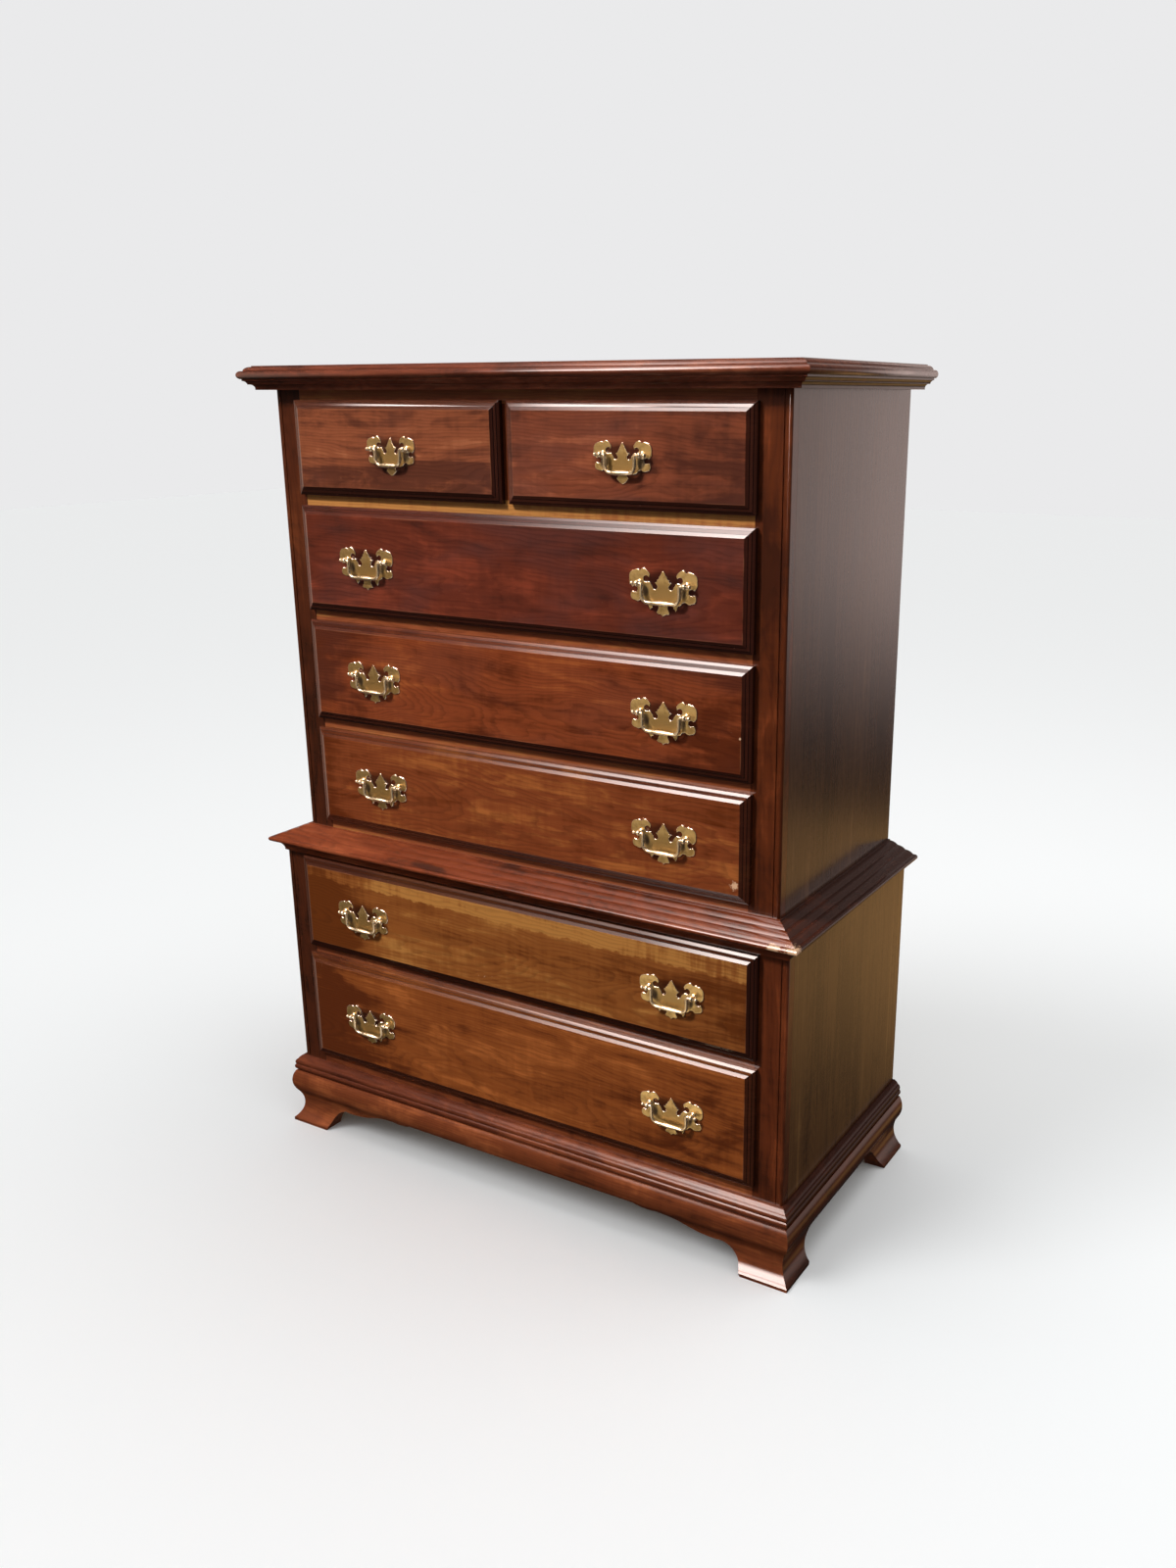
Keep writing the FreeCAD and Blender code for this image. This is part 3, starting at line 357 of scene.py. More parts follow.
def makeWaxAndShadeRound():  # old wax and dirt round a pull's plate, together with painted shade in the plate's cut-outs
    takes = {"Vector": "vector", "Place": "vector", "Spread": "vector", "Seed": "value"}
    tree, given, wanted = newGroup("waxAndShadeRound", takes, {"Mask": "value"})
    reach = reachFrom(tree, given["Vector"], given["Place"], given["Spread"])
    ragged = stretched(tree, given["Vector"], given["Seed"], *waxAndShadeMarks["ragged"])
    reach = scaled(tree, ragged, waxAndShadeMarks["raggedShare"], reach)
    feed(tree, wanted["Mask"], fall(tree, reach, *waxAndShadeMarks["border"]))
    return tree


scuffMarks = {"fleck": ((120, 240, 240), 4, 0.65), "where": ((7, 16, 16), 2), "fleckFrom": (0.66, 0.72),
              "whereFrom": (0.58, 0.70)}


def makeScuffs():  # small pale knocks through the finish
    takes = {"Vector": "vector", "Seed": "value", "Amount": "value"}
    tree, given, wanted = newGroup("scuffs", takes, {"Mask": "value"})
    fleck = stretched(tree, given["Vector"], given["Seed"], *scuffMarks["fleck"])
    where = stretched(tree, given["Vector"], given["Seed"], *scuffMarks["where"])
    fleck = rise(tree, fleck, *scuffMarks["fleckFrom"])
    where = rise(tree, where, *scuffMarks["whereFrom"])
    feed(tree, wanted["Mask"], times(tree, times(tree, fleck, where), given["Amount"]))
    return tree


cherryFigure = makeCherryFigure()
mitreTurn = makeMitreTurn()
mouldedEdge = makeMouldedEdge()
wornSpot = makeWornSpot()
waxAndShadeRound = makeWaxAndShadeRound()
scuffs = makeScuffs()
print("shared effects ready")


# Cherry, one finish for each board

cherryBoard = {
    **stains((150, 86, 48), (112, 56, 30), (72, 32, 17)),
    "bloom": 0.0, "bloomTint": stain(66, 46, 46),
    "seed": 1.0, "boardWidth": 4.0, "heart": 0.0, "boardContrast": 0.0,
    "seamLevel": -1.0, "seamTone": 0.0,  # below the seam a board is lighter or darker
    "bandLevel": 9.0, "bandTop": 9.9, "bandTone": 0.0, "bandTilt": 0.0,  # a strip of another tone
    "ringWidth": 0.0045, "ringDepth": 0.05, "ringTilt": 0.05, "ringStrength": 0.22,
    "shade": 1.6, "cloud": 1.8, "streak": 0.8, "curl": 0.3,
    "startFrom": -9.0, "startTone": 0.0, "endFrom": 0.0, "endTone": 0.0,  # painted shade towards both ends
    "scuff": 0.5, "worn": [],  # worn places as (x, z, reach) on the face
    "pulls": [], "slopeStainAndShadeShare": 0.5,
    "coat": 1.0, "coatRoughness": 0.18, "specular": 0.04, "bump": 0.04, "bumpDepth": 0.0002,
    "polish": None,  # or (axis, from, to, coat before, coat after) where a board is rubbed dull
}
# the slope colour is a dark stain on every moulded slope and painted shade on the right-hand and under slopes
mouldingStainAndShade = {"slopeStainAndShade": stain(44, 19, 12), "paintedSlopeShadeShare": 0.4, "step": stain(20, 9, 6), "stepShare": 0.55,
                 "rub": stain(168, 108, 74), "rubShare": 0.22, "bare": stain(196, 158, 126)}
# dark colour round each pull: old wax and dirt, together with painted shade
waxAndShadeLook = {"stain": stain(26, 11, 7), "share": 0.78, "spread": (0.052, 0.012, 0.032), "below": 0.010}
grainTurn = {"x": (0, 0, 0), "y": (0, 0, -math.pi / 2), "z": (0, math.pi / 2, 0)}


def startMaterial(name):
    material = bpy.data.materials.new(name)
    material.use_nodes = True
    tree = material.node_tree
    shader = tree.nodes["Principled BSDF"]
    place = tree.nodes.new("ShaderNodeTexCoord").outputs
    return material, tree, shader, place


def addBump(tree, shader, height, strength, depth):
    bump = addNode(tree, "ShaderNodeBump", {"Height": height, "Strength": strength, "Distance": depth})
    feed(tree, shader.inputs["Normal"], bump.outputs[0])


def cherry(name, values, along, across, mitre=None, edge=None):
    look = {**cherryBoard, **values}
    material, tree, shader, place = startMaterial(name)
    spot = place["Object"]
    grain = spot
    if mitre:
        grain = useGroup(tree, mitreTurn, {"Vector": grain, **mitre})["Vector"]
    grain = addNode(tree, "ShaderNodeMapping", {"Vector": grain, "Rotation": grainTurn[along]}).outputs[0]
    axes = parted(tree, spot)
    figureFeeds = {socketName(key): look[key] for key in figureValues + figureStains}
    figureFeeds.update({"Vector": grain, "Across": axes["xyz".index(across)]})
    figure = useGroup(tree, cherryFigure, figureFeeds)
    colour = figure["Color"]
    if edge:
        part = useGroup(tree, mouldedEdge, {"Vector": spot, "Seed": look["seed"], **edge})
        # slopes darkened: dark stain on all of them, painted shade on the right-hand and under ones
        stainedAndShaded = times(tree, part["Slopes"], look["slopeStainAndShadeShare"])
        stainedAndShaded = scaled(tree, part["Painted Slope Shade"], mouldingStainAndShade["paintedSlopeShadeShare"], stainedAndShaded)
        colour = blendColour(tree, stainedAndShaded, colour, mouldingStainAndShade["slopeStainAndShade"])
        for share, tint, mask in (("stepShare", "step", "Steps"), ("rubShare", "rub", "Rubbed")):
            amount = times(tree, part[mask], mouldingStainAndShade[share])
            colour = blendColour(tree, amount, colour, mouldingStainAndShade[tint])
    # old wax and dirt with painted shade round each pull
    for pull in look["pulls"]:
        waxAndShadeFeeds = {"Vector": spot, "Place": pull, "Spread": waxAndShadeLook["spread"], "Seed": look["seed"]}
        waxAndShade = times(tree, useGroup(tree, waxAndShadeRound, waxAndShadeFeeds)["Mask"], waxAndShadeLook["share"])
        colour = blendColour(tree, waxAndShade, colour, waxAndShadeLook["stain"])
    for x, z, reach in look["worn"]:
        wornFeeds = {"Vector": spot, "Place": (x, look["face"], z), "Reach": reach, "Seed": look["seed"]}
        colour = blendColour(tree, useGroup(tree, wornSpot, wornFeeds)["Mask"], colour, mouldingStainAndShade["bare"])
    mark = useGroup(tree, scuffs, {"Vector": grain, "Seed": look["seed"], "Amount": look["scuff"]})["Mask"]
    feed(tree, shader.inputs["Base Color"], blendColour(tree, mark, colour, mouldingStainAndShade["bare"]))
    feed(tree, shader.inputs["Roughness"], figure["Roughness"])
    shader.inputs["Specular IOR Level"].default_value = look["specular"]
    if look["polish"]:  # rubbed dull in one place and still glossy in another
        axis, *polishing = look["polish"]
        feed(tree, shader.inputs["Coat Weight"], rise(tree, axes["xyz".index(axis)], *polishing))
    else:
        shader.inputs["Coat Weight"].default_value = look["coat"]
    shader.inputs["Coat Roughness"].default_value = look["coatRoughness"]
    addBump(tree, shader, figure["Height"], look["bump"], look["bumpDepth"])
    return material


# Poplar inside and brass outside

poplarBoard = {**stains((206, 178, 132), (184, 150, 104), (140, 104, 66)),
               "ringWidth": 0.006, "ringStrength": 0.12, "cloud": 0.9, "curl": 0.0, "scuff": 0.0,
               "boardWidth": 0.12, "boardContrast": 0.3, "coat": 0.0, "specular": 0.2}


def poplar(name, seed, along, across):
    return cherry(name, {**poplarBoard, "seed": seed}, along, across)


plateLook = {
    "Face": stain(180, 148, 92), "Tarnish": stain(118, 89, 44), "Bright": stain(246, 230, 212),
    "Metal": 0.88, "Edge Metal": 0.07, "Edge Share": 1.0, "Rough": 0.32, "Edge Rough": 0.18,
    "Hollow": 0.8, "Post Shadow": 0.85,
}
castLook = {
    "Face": stain(202, 175, 133), "Tarnish": stain(122, 96, 58), "Bright": stain(240, 225, 202),
    "Metal": 0.84, "Edge Metal": 0.12, "Edge Share": 0.5, "Rough": 0.26, "Edge Rough": 0.20,
    "Hollow": 0.0, "Post Shadow": 0.0,
}
hollowPlace = {"centre": (0.0, 0.008, -0.013), "spread": (0.034, 0.012, 0.020)}  # behind the bail
# painted shadow of the posts and bail on the plate, below each post
postShadowPlace = {"centre": (0.030, 0.008, -0.010), "spread": (0.008, 0.012, 0.010), "stain": stain(50, 34, 19)}
brassMarks = {
    "patch": (2.0, (60, 60, 60), 4, 0.6), "brushed": (5.0, (2200, 300, 160), 2, 0.6),  # seed first
    "flat": (0.86, 0.97), "hollow": (0.45, 1.2), "postShadow": (0.55, 1.15), "dull": (0.42, 0.68, 0.0, 0.8),
    "dullMetal": -0.15, "postShadowMetal": -0.55, "dullRough": 0.12, "postShadowRough": 0.30, "brushedRough": 0.08,
    "bump": 0.12, "bumpDepth": 0.0002,
}


def makeBrassFinish():  # polished edges whose near-white colour is also a painted highlight, dull patches, a darker and duller patch behind the bail, and painted shadow below the posts
    takes = {"Vector": "vector", "Normal": "vector"}
    takes.update({key: "colour" if isinstance(value, tuple) else "value" for key, value in plateLook.items()})
    gives = {"Color": "colour", "Metallic": "value", "Roughness": "value", "Height": "value"}
    tree, given, wanted = newGroup("brassFinish", takes, gives)
    marks = brassMarks
    vector = given["Vector"]
    flat = rise(tree, calc(tree, "ABSOLUTE", parted(tree, given["Normal"])[1]), *marks["flat"])
    edge = times(tree, minus(tree, 1.0, flat), given["Edge Share"])
    inside = minus(tree, 1.0, edge)
    patch = stretched(tree, vector, *marks["patch"])
    brushed = stretched(tree, vector, *marks["brushed"])
    hollow = reachFrom(tree, vector, hollowPlace["centre"], hollowPlace["spread"])
    hollow = times(tree, fall(tree, hollow, *marks["hollow"]), given["Hollow"])
    # painted shadow below the posts, also less metallic and rougher
    x, y, z = parted(tree, vector)
    folded = addNode(tree, "ShaderNodeCombineXYZ", {0: calc(tree, "ABSOLUTE", x), 1: y, 2: z}).outputs[0]
    postShadow = fall(tree, reachFrom(tree, folded, postShadowPlace["centre"], postShadowPlace["spread"]), *marks["postShadow"])
    postShadow = times(tree, times(tree, postShadow, given["Post Shadow"]), inside)
    dull = calc(tree, "MAXIMUM", rise(tree, patch, *marks["dull"]), hollow)
    dull = times(tree, dull, inside)
    colour = blendColour(tree, dull, given["Face"], given["Tarnish"])
    # polished edges, whose near-white colour also serves as a painted highlight
    colour = blendColour(tree, edge, colour, given["Bright"])
    feed(tree, wanted["Color"], blendColour(tree, postShadow, colour, postShadowPlace["stain"]))
    metal = scaled(tree, edge, given["Edge Metal"], given["Metal"])
    metal = scaled(tree, dull, marks["dullMetal"], metal)
    feed(tree, wanted["Metallic"], scaled(tree, postShadow, marks["postShadowMetal"], metal))
    rough = rise(tree, edge, 0, 1, given["Rough"], given["Edge Rough"])
    for mask, share in ((dull, "dullRough"), (postShadow, "postShadowRough"), (brushed, "brushedRough")):
        rough = scaled(tree, mask, marks[share], rough)
    feed(tree, wanted["Roughness"], rough)
    feed(tree, wanted["Height"], brushed)
    return tree


brassFinish = makeBrassFinish()


def brass(name, look):
    material, tree, shader, place = startMaterial(name)
    finish = useGroup(tree, brassFinish, {"Vector": place["Object"], "Normal": place["Normal"], **look})
    feed(tree, shader.inputs["Base Color"], finish["Color"])
    feed(tree, shader.inputs["Metallic"], finish["Metallic"])
    feed(tree, shader.inputs["Roughness"], finish["Roughness"])
    addBump(tree, shader, finish["Height"], brassMarks["bump"], brassMarks["bumpDepth"])
    return material


plateBrass = brass("plateBrass", plateLook)
castBrass = brass("castBrass", castLook)
print("woods and brass ready")


# Case boards

arrisSize = {"case": 0.0006, "inside": 0.0004, "front": 0.0002, "box": 0.0005, "moulded": 0.0,
             "weld": 0.00002, "segments": 2, "sharp": 32}


def softenEdges(piece, width):
    weld = piece.modifiers.new("weld", "WELD")
    weld.merge_threshold = arrisSize["weld"]
    bevel = piece.modifiers.new("arris", "BEVEL")
    bevel.width = width
    bevel.segments = arrisSize["segments"]
    bevel.limit_method = "ANGLE"
    bevel.angle_limit = math.radians(arrisSize["sharp"])
    bevel.harden_normals = True


def dress(name, material, arris):
    piece = nodes[name]
    for index in range(max(1, len(piece.material_slots))):
        if not piece.material_slots:
            piece.data.materials.append(material)
        piece.material_slots[index].material = material
    if arrisSize[arris]:
        softenEdges(piece, arrisSize[arris])


sideCherry = {**stains((100, 68, 46), (72, 45, 30), (46, 25, 16)),
              "boardWidth": 0.115, "boardContrast": 0.35, "cloud": 1.0, "streak": 1.2}
goldSide = {**sideCherry, **stains((122, 86, 48), (92, 60, 32), (62, 36, 19))}
darkCherry = stains((112, 54, 27), (84, 38, 18), (54, 24, 12))
shadedCherry = stains((88, 43, 22), (66, 30, 15), (44, 20, 10))
deepCherry = stains((112, 58, 35), (80, 38, 23), (58, 26, 16))
paintedShadeOnSideRuns = {"endFrom": 2.0, "endTone": -0.55}  # painted shade on the side lengths of a moulding: only they lie this far along, past mitreShift
caseLook = {
    "upper_right_side": {**sideCherry, "seed": 31.0},
    "upper_left_side": {**sideCherry, "seed": 32.0},
    "lower_right_side": {**goldSide, "seed": 33.0},
    "lower_left_side": {**goldSide, "seed": 34.0},
    "upper_right_stile": {**darkCherry, "middle": stain(80, 36, 16), "seed": 35.0},
    "upper_left_stile": {**shadedCherry, "seed": 36.0},
    "lower_right_stile": {**darkCherry, "seed": 37.0},
    "lower_left_stile": {**shadedCherry, "seed": 38.0},
    "small_drawer_divider": {**darkCherry, "seed": 39.0},
    "upper_rails": {
        "light": stain(170, 116, 62), "middle": stain(130, 69, 40), "seed": 40.0,
        "bandLevel": 1.1, "bandTop": 1.16, "bandTone": 0.45, "curl": 0.0, "cloud": 0.8, "shade": 0.8},
    "lower_rails": {"seed": 41.0},
    "top_board": {
        **stains((128, 70, 47), (97, 48, 32), (64, 30, 20)), "seed": 42.0,
        "boardWidth": 0.13, "boardContrast": 0.3},
    "cornice_moulding": {
        **stains((130, 66, 43), (100, 48, 30), (64, 29, 18)), "seed": 43.0,
        "polish": ("x", 0.42, 0.47, 1.0, 0.7), **paintedShadeOnSideRuns},
    "waist_moulding": {
        **stains((132, 67, 40), (104, 48, 27), (58, 27, 17)), "seed": 44.0,
        "scuff": 1.0, "polish": ("x", 0.15, 0.45, 0.45, 1.0), "coatRoughness": 0.12, **paintedShadeOnSideRuns,
        "worn": [(0.503, 0.551, 0.030), (0.470, 0.551, 0.018), (0.490, 0.566, 0.016)]},
    "base_moulding": {
        **deepCherry, "seed": 45.0,
        "polish": ("x", 0.10, 0.46, 0.10, 0.43), "coatRoughness": 0.08, **paintedShadeOnSideRuns},
    "base_front_board": {
        **stains((136, 74, 42), (100, 50, 28), (60, 28, 17)), "seed": 46.0,
        "polish": ("z", 0.030, 0.045, 0.85, 0.20), "coatRoughness": 0.07},
    "base_left_board": {"seed": 47.0},
    # the right-hand base board is darker than the left one, as painted shade on that side
    "base_right_board": {**darkCherry, "seed": 48.0},
}
baseBoards = ("base_front_board", "base_left_board", "base_right_board")
upperCorner = {"Corner X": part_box("upper_right_side")[1].x, "Corner Y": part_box("upper_right_stile")[0].y}
lowerCorner = {"Corner X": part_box("lower_right_side")[1].x, "Corner Y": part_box("lower_right_stile")[0].y}
for name, values in caseLook.items():
    along, across, corner, arris = "x", "z", None, "case"
    if name.endswith(("_side", "_stile", "_divider")):
        along, across = "z", "y" if name.endswith("_side") else "x"
    elif name == "top_board":
        across = "y"
    elif name in baseBoards:
        along = "x" if name == "base_front_board" else "y"
        arris = "moulded"
    elif name.endswith("_moulding"):
        corner = upperCorner if name == "cornice_moulding" else lowerCorner
        arris = "moulded"
    low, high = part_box(name)
    look = {**values, "heart": ((low + high) / 2)["xyz".index(across)], "face": low.y}
    dress(name, cherry(name + "_cherry", look, along, across, corner), arris)

insideSeed = 60.0
insideLook = {  # grain along one axis, boards side by side across another
    "upper_back_panel": ("x", "z"), "lower_back_panel": ("x", "z"), "deck_board": ("x", "y"),
    "upper_drawer_runners": ("y", "x"), "upper_drawer_guides": ("y", "z"), "lower_drawer_runners": ("y", "x"),
    "lower_drawer_guides": ("y", "z"), "rear_foot_brackets": ("x", "z"), "foot_glue_blocks": ("z", "x"),
}
for number, (name, (along, across)) in enumerate(insideLook.items()):
    dress(name, poplar(name + "_poplar", insideSeed + number, along, across), "inside")
print("case boards finished")


# Drawers

# each front is darkened towards its ends by painted shade, set by its start and end values
drawerLook = {
    "top_left": {
        **stains((158, 96, 64), (122, 67, 43), (80, 42, 29)), "seed": 2.0,
        # more of the dark slope colour here, as painted shade along this front's edges
        "seamLevel": 1.196, "seamTone": -0.34, "bloom": 0.2, "slopeStainAndShadeShare": 0.75},
    "top_right": {
        **stains((148, 82, 54), (112, 58, 38), (74, 38, 27)), "seed": 3.0,
        "endFrom": 0.1, "endTone": -0.5, "bloom": 0.35},
    "second": {
        **stains((114, 51, 33), (87, 38, 25), (58, 28, 20)), "seed": 4.0,
        "startFrom": -0.24, "startTone": -0.3, "endFrom": 0.05, "endTone": -0.06, "bloom": 0.35},
    "third": {
        **stains((146, 76, 38), (117, 55, 28), (80, 34, 15)), "seed": 5.0,
        "startFrom": -0.22, "startTone": -0.55, "endFrom": 0.1, "endTone": -0.7, "bloom": 0.15,
        "ringStrength": 0.24, "ringWidth": 0.0036, "worn": [(0.393, 0.835, 0.003)]},
    "fourth": {
        **stains((150, 86, 42), (114, 56, 28), (84, 36, 12)), "seed": 6.0,
        "startFrom": -0.26, "startTone": -0.45, "worn": [(0.388, 0.618, 0.011)]},
    "fifth": {
        **stains((160, 108, 54), (124, 71, 32), (88, 43, 15)), "seed": 7.0,
        "startFrom": -0.22, "startTone": -0.85, "endFrom": 0.15, "endTone": -0.3, "curl": 0.35, "cloud": 1.3,
        "bandLevel": 0.489, "bandTop": 0.515, "bandTone": 0.6, "bandTilt": 0.012, "seamLevel": 0.462,
        # more of the dark slope colour here, as painted shade under the waist moulding
        "seamTone": -0.06, "slopeStainAndShadeShare": 0.85, "polish": ("x", 0.22, 0.42, 0.20, 1.0)},
    "sixth": {
        **stains((156, 88, 42), (124, 65, 28), (82, 37, 14)), "seed": 8.0,
        "startFrom": -0.22, "startTone": -0.75, "endFrom": 0.1, "endTone": -0.05},
}
frontGloss = 0.12
boxSeed = 80.0
frontEdge = {"Outer": 0.0040, "Middle": 0.0088, "Inner": 0.0136}
hinges = [joint for joint in frame["joints"] if joint["type"] == "hinge"]
for number, (name, values) in enumerate(drawerLook.items()):
    low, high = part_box(name + "_drawer_front")
    centre = (low + high) / 2
    edge = {**frontEdge, "Centre": centre, "Half": (high - low) / 2}
    posts = [Vector(joint["pos_m"]) for joint in hinges if joint["parent"] == name + "_drawer"]
    pulls = [Vector((post.x, low.y, post.z - waxAndShadeLook["below"])) for post in posts]
    look = {"coatRoughness": frontGloss, **values, "heart": centre.z, "face": low.y, "pulls": pulls}
    dress(name + "_drawer_front", cherry(name + "_front_cherry", look, "x", "z", edge=edge), "front")
    dress(name + "_drawer_box", poplar(name + "_box_poplar", boxSeed + number, "y", "z"), "box")
print("drawers finished")


# Pulls: cut plate, two posts with nuts, swinging bail

pullSize = {
    "large": {"spacing": 0.0762, "up": 0.0208, "down": 0.045, "ear": 0.0164, "drop": 0.0255},
    "small": {"spacing": 0.0635, "up": 0.0188, "down": 0.0395, "ear": 0.0148, "drop": 0.024},
}
plateSize = {"thick": 0.0016, "standoff": 0.0075, "arris": 0.0006, "arrisSteps": 2, "bowSteps": 10}
postSize = {"front": 0.0144, "shank": 0.0022, "collar": 0.0052, "collarThick": 0.0018, "neck": 0.0029,
            "head": 0.00425, "eye": 0.00216, "nut": 0.005, "nutThick": 0.003, "nutPlay": 0.0001,
            "nutSides": 6, "tail": 0.005, "tailShare": 0.8, "bevel": 0.0006, "rim": 0.0005, "cove": 0.0008,
            "coveFoot": 0.0001, "slices": 24, "eyeSlices": 20, "headSteps": 12, "drillReach": 0.01}
bailSize = {"wire": 0.0021, "bend": 0.003, "corner": 0.010, "headGap": 0.0005, "ball": 0.0029, "leg": 0.0025,
            "grip": 0.044, "gripRadius": 0.0034, "wireGap": 0.0001, "slices": 20, "ballSteps": 9,
            "halfTurn": 9.8, "bendSteps": 6, "cornerSteps": 12, "gripSteps": 8}
smoothAngle = 35


def plateHalf(large):  # shares of spacing, rise and drop; the third number bows that stretch outwards
    tip = [(0, 0.87), (0.055, 0.78)]
    if large:
        tip += [(0.11, 0.58), (0.17, 0.48), (0.175, 0.36), (0.26, 0.26)]
    tip += [(0.245, 0.155), (0.35, 0.10), (0.275, -0.02, -0.85)]
    wing = [(0.44, -0.077), (0.525, 0.02, 0.15), (0.61, 0.13), (0.67, 0.10, -1.2), (0.60, 0.38),
            (0.56, 0.60, 0.1), (0.80, 1.0, 0.2), (0.963, 0.81, 0.2), (1.42, 0.86, 0.24), (2.0, 0.28, 0.18),
            (1.665, -0.134, -1.4), (1.646, -0.26, 0.15), (1.86, -0.343, 0.28), (1.476, -0.538, 0.12),
            (1.04, -0.552, -0.2), (0.81, -0.54, 0.12), (0.62, -0.637, 0.1)]
    if large:
        wing += [(0.525, -0.82, -0.1), (0.44, -0.725, -0.62), (0.2, -0.754), (0.278, -0.873, 0.2),
                 (0.142, -0.923, -0.1), (0, -1)]
    else:
        wing += [(0.5, -0.66), (0.42, -0.66, -0.45), (0.22, -0.72), (0.31, -0.8, 0.06), (0, -1)]
    return tip + wing


def bowed(first, second, bulge):  # points from first up to second, bowed to the left of the way
    if not bulge:
        return [first]
    steps = plateSize["bowSteps"]
    chord = second - first
    radius = abs(chord) * (1 / (8 * abs(bulge)) + abs(bulge) / 2)
    left = 1j * chord / abs(chord)
    centre = (first + second) / 2 + left * (abs(chord) * bulge - math.copysign(radius, bulge))
    sweep = -4 * math.atan(2 * bulge)
    return [centre + (first - centre) * cmath.exp(1j * sweep * step / steps) for step in range(steps)]


def plateOutline(kind):
    size = pullSize[kind]
    half = size["spacing"] / 2
    points = []
    for share in plateHalf(kind == "large"):
        across, up, bulge = (*share, 0)[:3]
        x = half * across if across <= 1 else half + (across - 1) * size["ear"]
        z = up * (size["up"] if up > 0 else size["down"])
        points.append((complex(x, z), bulge))
    right = []
    for (first, bulge), (second, _) in zip(points, points[1:]):
        right += bowed(first, second, bulge)
    right.append(points[-1][0])
    left = [complex(-spot.real, spot.imag) for spot in reversed(right[1:-1])]
    return right + left


def finishedMesh(holder):  # the mesh of an object with its curve or modifiers worked out
    bpy.context.view_layer.update()
    return bpy.data.meshes.new_from_object(holder.evaluated_get(bpy.context.evaluated_depsgraph_get()))


def plateMesh(kind):
    curve = bpy.data.curves.new(kind + "_plate_cut", "CURVE")
    curve.dimensions = "2D"
    curve.fill_mode = "BOTH"
    curve.extrude = plateSize["thick"] / 2 - plateSize["arris"]
    curve.bevel_depth = plateSize["arris"]
    curve.bevel_resolution = plateSize["arrisSteps"]
    curve.offset = -plateSize["arris"]
    outline = plateOutline(kind)
    line = curve.splines.new("POLY")
    line.points.add(len(outline) - 1)
    for point, spot in zip(line.points, outline):
        point.co = (spot.real, spot.imag, 0, 1)
    line.use_cyclic_u = True
    holder = bpy.data.objects.new(kind + "_plate_cut", curve)
    scene.collection.objects.link(holder)
    mesh = finishedMesh(holder)
    bpy.data.objects.remove(holder)
    mesh.transform(Matrix.Rotation(math.pi / 2, 4, "X"))
    mesh.transform(Matrix.Translation((0, plateSize["standoff"] + plateSize["thick"] / 2, 0)))
    return mesh


def skinned(rings, shape, name):  # faces from ring to ring, a ring of one point closes an end
    for first, second in zip(rings, rings[1:]):
        count = len(first)
        for step in range(count):
            after = (step + 1) % count
            corner = [first[step], first[after], second[after], second[step]]
            shape.faces.new(list(dict.fromkeys(corner)))
    bmesh.ops.recalc_face_normals(shape, faces=shape.faces)
    mesh = bpy.data.meshes.new(name)
    shape.to_mesh(mesh)
    shape.free()
    return mesh


def turned(profile, slices, name):  # lathe work about the Y axis, profile as (radius, y)
    shape = bmesh.new()
    rings = []
    for radius, y in profile:
        if radius == 0:
            rings.append([shape.verts.new((0, y, 0))] * slices)
            continue
        turns = [2 * math.pi * step / slices for step in range(slices)]
        spots = [(radius * math.cos(turn), y, radius * math.sin(turn)) for turn in turns]
        rings.append([shape.verts.new(spot) for spot in spots])
    return skinned(rings, shape, name)


def boredPost():
    size = postSize
    face = plateSize["standoff"]
    inside = face + plateSize["thick"] + size["front"] + size["nutThick"] + size["tail"]
    collarFace = face - size["collarThick"]
    profile = [(0, inside), (size["shank"] * size["tailShare"], inside),
               (size["shank"], inside - size["bevel"]), (size["shank"], face),
               (size["collar"], face), (size["collar"], collarFace + size["rim"]),
               (size["collar"] - size["bevel"], collarFace), (size["neck"] + size["cove"], collarFace),
               (size["neck"] + size["coveFoot"], collarFace - size["rim"])]
    start = math.asin(size["neck"] / size["head"])
    steps = size["headSteps"]
    for step in range(steps + 1):
        angle = start + (math.pi - start) * step / steps
        radius = size["head"] * math.sin(angle) if step < steps else 0
        profile.append((radius, size["head"] * math.cos(angle)))
    post = bpy.data.objects.new("post_blank", turned(profile, size["slices"], "post_blank"))
    reach = size["drillReach"]
    hole = [(0, -reach), (size["eye"], -reach), (size["eye"], reach), (0, reach)]
    drill = turned(hole, size["eyeSlices"], "post_eye")
    drill.transform(Matrix.Rotation(math.pi / 2, 4, "Z"))
    cutter = bpy.data.objects.new("post_eye", drill)
    for made in (post, cutter):
        scene.collection.objects.link(made)
    bore = post.modifiers.new("eye", "BOOLEAN")
    bore.operation = "DIFFERENCE"
    bore.object = cutter
    mesh = finishedMesh(post)
    for made in (post, cutter):
        bpy.data.objects.remove(made)
    return mesh


def nutMesh():
    size = postSize
    seat = plateSize["standoff"] + plateSize["thick"] + size["front"]
    top = seat + size["nutThick"]
    bore = size["shank"] + size["nutPlay"]
    profile = [(bore, seat), (size["nut"], seat), (size["nut"], top), (bore, top), (bore, seat)]
    return turned(profile, size["nutSides"], "nut")


